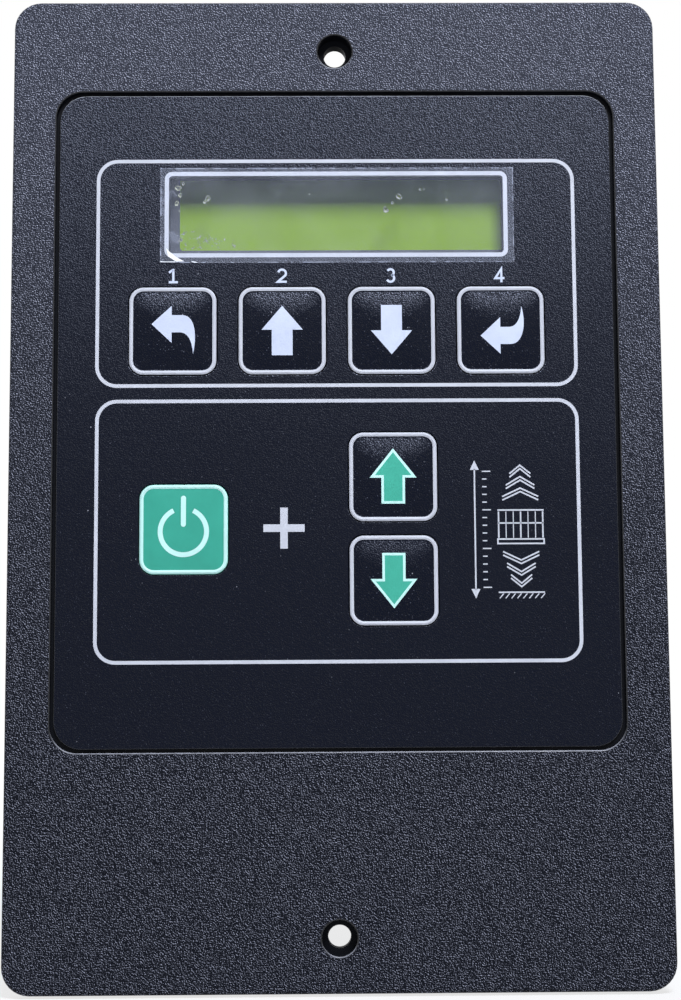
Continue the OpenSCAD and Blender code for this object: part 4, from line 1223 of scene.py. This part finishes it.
class LIFTBOX_OT_sheet(bpy.types.Operator):
    """Keypad sheet with its printed frames, digits, plus sign and height gauge."""
    bl_idname = "liftbox.sheet"
    bl_label = "Keypad sheet"

    def execute(self, context):
        line = context.scene.lift_box_keypad.line / MM
        softened("graphic_overlay", (SHEET_Y,), SHEET_LIP, "overlay_edge", SHEET_EDGE_REACH)
        paint("overlay_adhesive")
        frames = Drawing()
        for sides in FRAMES:
            frames.frame(*sides, FRAME_R, line)
        frames.piece("printed_frames", "print_white")
        edge = Drawing()
        edge.frame(*WINDOW_LINE)
        edge.piece("printed_window_edge", "print_white")
        digits = Drawing()
        for lines, x in zip(DIGITS, DIGIT_X):
            for points in lines:
                digits.stroke(moved(points, x, DIGIT_Z), DIGIT_LINE)
        digits.piece("printed_digits", "print_pale")
        plus = Drawing()
        plus.fill(plus_outline(x=-10.62, z=-9.0, reach=4.1, half=0.75))
        plus.piece("printed_plus", "print_white")
        gauge = Drawing()
        height_gauge(gauge)
        gauge.piece("printed_height_gauge", "print_white")
        return {"FINISHED"}


class LIFTBOX_OT_keys(bpy.types.Operator):
    """Seven embossed keys with their printed rims and symbols."""
    bl_idname = "liftbox.keys"
    bl_label = "Keys"

    def execute(self, context):
        keypad = context.scene.lift_box_keypad
        for which in KEYS:
            form = KeyForm(which, keypad.rim, keypad.crown)
            body, node = which + "_key", "key_" + which
            new_piece(node + "_embossed", key_mesh(form), slot_of(node), body, [node])
            self.rim(which, form, body)
            self.symbol(which, form, body)
        return {"FINISHED"}

    def rim(self, which, form, body):
        """Pale line on the embossed rim."""
        drawing = Drawing()
        steps, outside, width = 8, 0.05, RIM_W - 0.07
        rows = [drawing.loop(form.loop(outside + width * i / steps)) for i in range(steps + 1)]
        for a, b in zip(rows, rows[1:]):
            bridge(drawing.flat, a, b)
        finish = "print_mint" if which == "power" else "print_white"
        drawing.piece("rim_" + which, finish, body, height=form.height)

    def symbol(self, which, form, body):
        """Symbol printed on the pillow, with a pale border round the two green arrows."""
        name, finish, slot = "symbol_" + which, "print_pale", "print_white"
        drawing = Drawing()
        if which == "power":
            power_symbol(drawing)
            finish = "print_mint"
        else:
            outline = moved(SYMBOLS[which], form.x, form.z)
            if which in ("raise", "lower"):
                border = Drawing()
                inner = inner_outline(outline, SYMBOL_BORDER)
                border.band(outline, inner)
                border.refine(SYMBOL_STEP)
                border.piece("symbol_edge_" + which, "print_mint", body, height=form.height)
                outline, finish, slot = inner, "print_green", "print_green"
            drawing.fill(outline)
        drawing.refine(SYMBOL_STEP)
        drawing.piece(name, finish, body, slot, form.height)


class LIFTBOX_OT_window(bpy.types.Operator):
    """Clear pane, and the protective film with its loose corner and bubbles."""
    bl_idname = "liftbox.window"
    bl_label = "Window and film"

    def execute(self, context):
        paint("display_window")
        low, high = film_edges()
        lift = context.scene.lift_box_window.lift / MM

        def rise(x, z):
            """Height of the film over the sheet, in millimetres."""
            return film_rise(x, z, low / MM, lift)

        self.film(low, high, rise)
        blisters = bmesh.new()
        for x, z, radius in (*BUBBLES, *froth()):
            blister(blisters, x, z, radius, rise(x, z) + BUBBLE_GAP)
        new_piece("film_blisters", mesh_of(blisters, "blisters", 180.0), "film_blister", "housing")
        # Painted highlights on the folded corner and the lower edge of the film
        crease = Drawing()
        for outline in CREASE_HIGHLIGHTS:
            crease.fill(outline)
        crease.piece("film_crease_highlight", "film_crease_highlight", "housing", "protective_film",
                     lambda x, z: rise(x, z) + CREASE_GAP)
        return {"FINISHED"}

    def film(self, low, high, rise):
        """Thin sheet that follows rise."""
        across = round((high.x - low.x) / FILM_STEP)
        up = round((high.z - low.z) / FILM_STEP)
        solid = bmesh.new()
        rows = []
        for j in range(up + 1):
            z = low.z + (high.z - low.z) * j / up
            row = []
            for i in range(across + 1):
                x = low.x + (high.x - low.x) * i / across
                y = high.y - (FILM_GAP + rise(x / MM, z / MM)) * MM
                row.append(solid.verts.new((x, y, z)))
            rows.append(row)
        for a, b in zip(rows, rows[1:]):
            bridge(solid, a, b, closed=False)
        bmesh.ops.solidify(solid, geom=solid.faces[:], thickness=FILM_T)
        new_piece("film_with_loose_corner", mesh_of(solid, "film", 50.0), "protective_film", "housing",
                  ["window_film"])


class LIFTBOX_OT_display(bpy.types.Operator):
    """Display module behind the window."""
    bl_idname = "liftbox.display"
    bl_label = "Display"

    def execute(self, context):
        paint("lcd_frame", "lcd_glass", "lcd_backlight", "lcd_board", "lcd_spacers", "lcd_screws",
              "lcd_header")
        return {"FINISHED"}


class LIFTBOX_OT_circuit(bpy.types.Operator):
    """Main board, its parts and the plungers that work its switches."""
    bl_idname = "liftbox.circuit"
    bl_label = "Circuit board"

    def execute(self, context):
        paint("main_board", "board_screws", "switches", "controller_chip", "driver_chips",
              "capacitors", "relays", "sounder", *("plunger_" + which for which in KEYS))
        return {"FINISHED"}


class LIFTBOX_OT_rear(bpy.types.Operator):
    """Rear housing with rounded edges, its seal and screws."""
    bl_idname = "liftbox.rear"
    bl_label = "Rear housing"

    def execute(self, context):
        softened("rear_housing", (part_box("rear_housing")[1].y,), REAR_LIP)
        paint("rear_seal", "rear_screws")
        return {"FINISHED"}


class LIFTBOX_OT_headers(bpy.types.Operator):
    """Two cable headers with their contacts, seals and screws."""
    bl_idname = "liftbox.headers"
    bl_label = "Cable headers"

    def execute(self, context):
        paint("grey_connector", "black_connector", "grey_connector_pins", "black_connector_pins",
              "connector_seals", "connector_screws")
        return {"FINISHED"}


OPERATORS = (
    LIFTBOX_OT_finishes, LIFTBOX_OT_stage, LIFTBOX_OT_housing, LIFTBOX_OT_sheet, LIFTBOX_OT_keys,
    LIFTBOX_OT_window, LIFTBOX_OT_display, LIFTBOX_OT_circuit, LIFTBOX_OT_rear, LIFTBOX_OT_headers)


class LIFTBOX_PT_panel(bpy.types.Panel):
    """Lists the settings and the steps."""
    bl_idname = "LIFTBOX_PT_panel"
    bl_label = "Control box"
    bl_space_type = "VIEW_3D"
    bl_region_type = "UI"
    bl_category = "Control box"

    def draw(self, context):
        for name, group in GROUPS.items():
            box = self.layout.box()
            box.label(text=group.__doc__)
            for field in group.__annotations__:
                box.prop(getattr(context.scene, name), field)
        for step in OPERATORS:
            self.layout.operator(step.bl_idname)


def register():
    for name, group in GROUPS.items():
        bpy.utils.register_class(group)
        setattr(bpy.types.Scene, name, bpy.props.PointerProperty(type=group))
    for step in OPERATORS:
        bpy.utils.register_class(step)
    bpy.utils.register_class(LIFTBOX_PT_panel)


def unregister():
    bpy.utils.unregister_class(LIFTBOX_PT_panel)
    for step in reversed(OPERATORS):
        bpy.utils.unregister_class(step)
    for name, group in reversed(GROUPS.items()):
        delattr(bpy.types.Scene, name)
        bpy.utils.unregister_class(group)


def main():
    """Dresses the whole box."""
    register()
    bpy.ops.liftbox.finishes()
    bpy.ops.liftbox.stage()
    bpy.ops.liftbox.housing()
    bpy.ops.liftbox.sheet()
    bpy.ops.liftbox.keys()
    bpy.ops.liftbox.window()
    bpy.ops.liftbox.display()
    bpy.ops.liftbox.circuit()
    bpy.ops.liftbox.rear()
    bpy.ops.liftbox.headers()


if __name__ == "__main__":
    main()
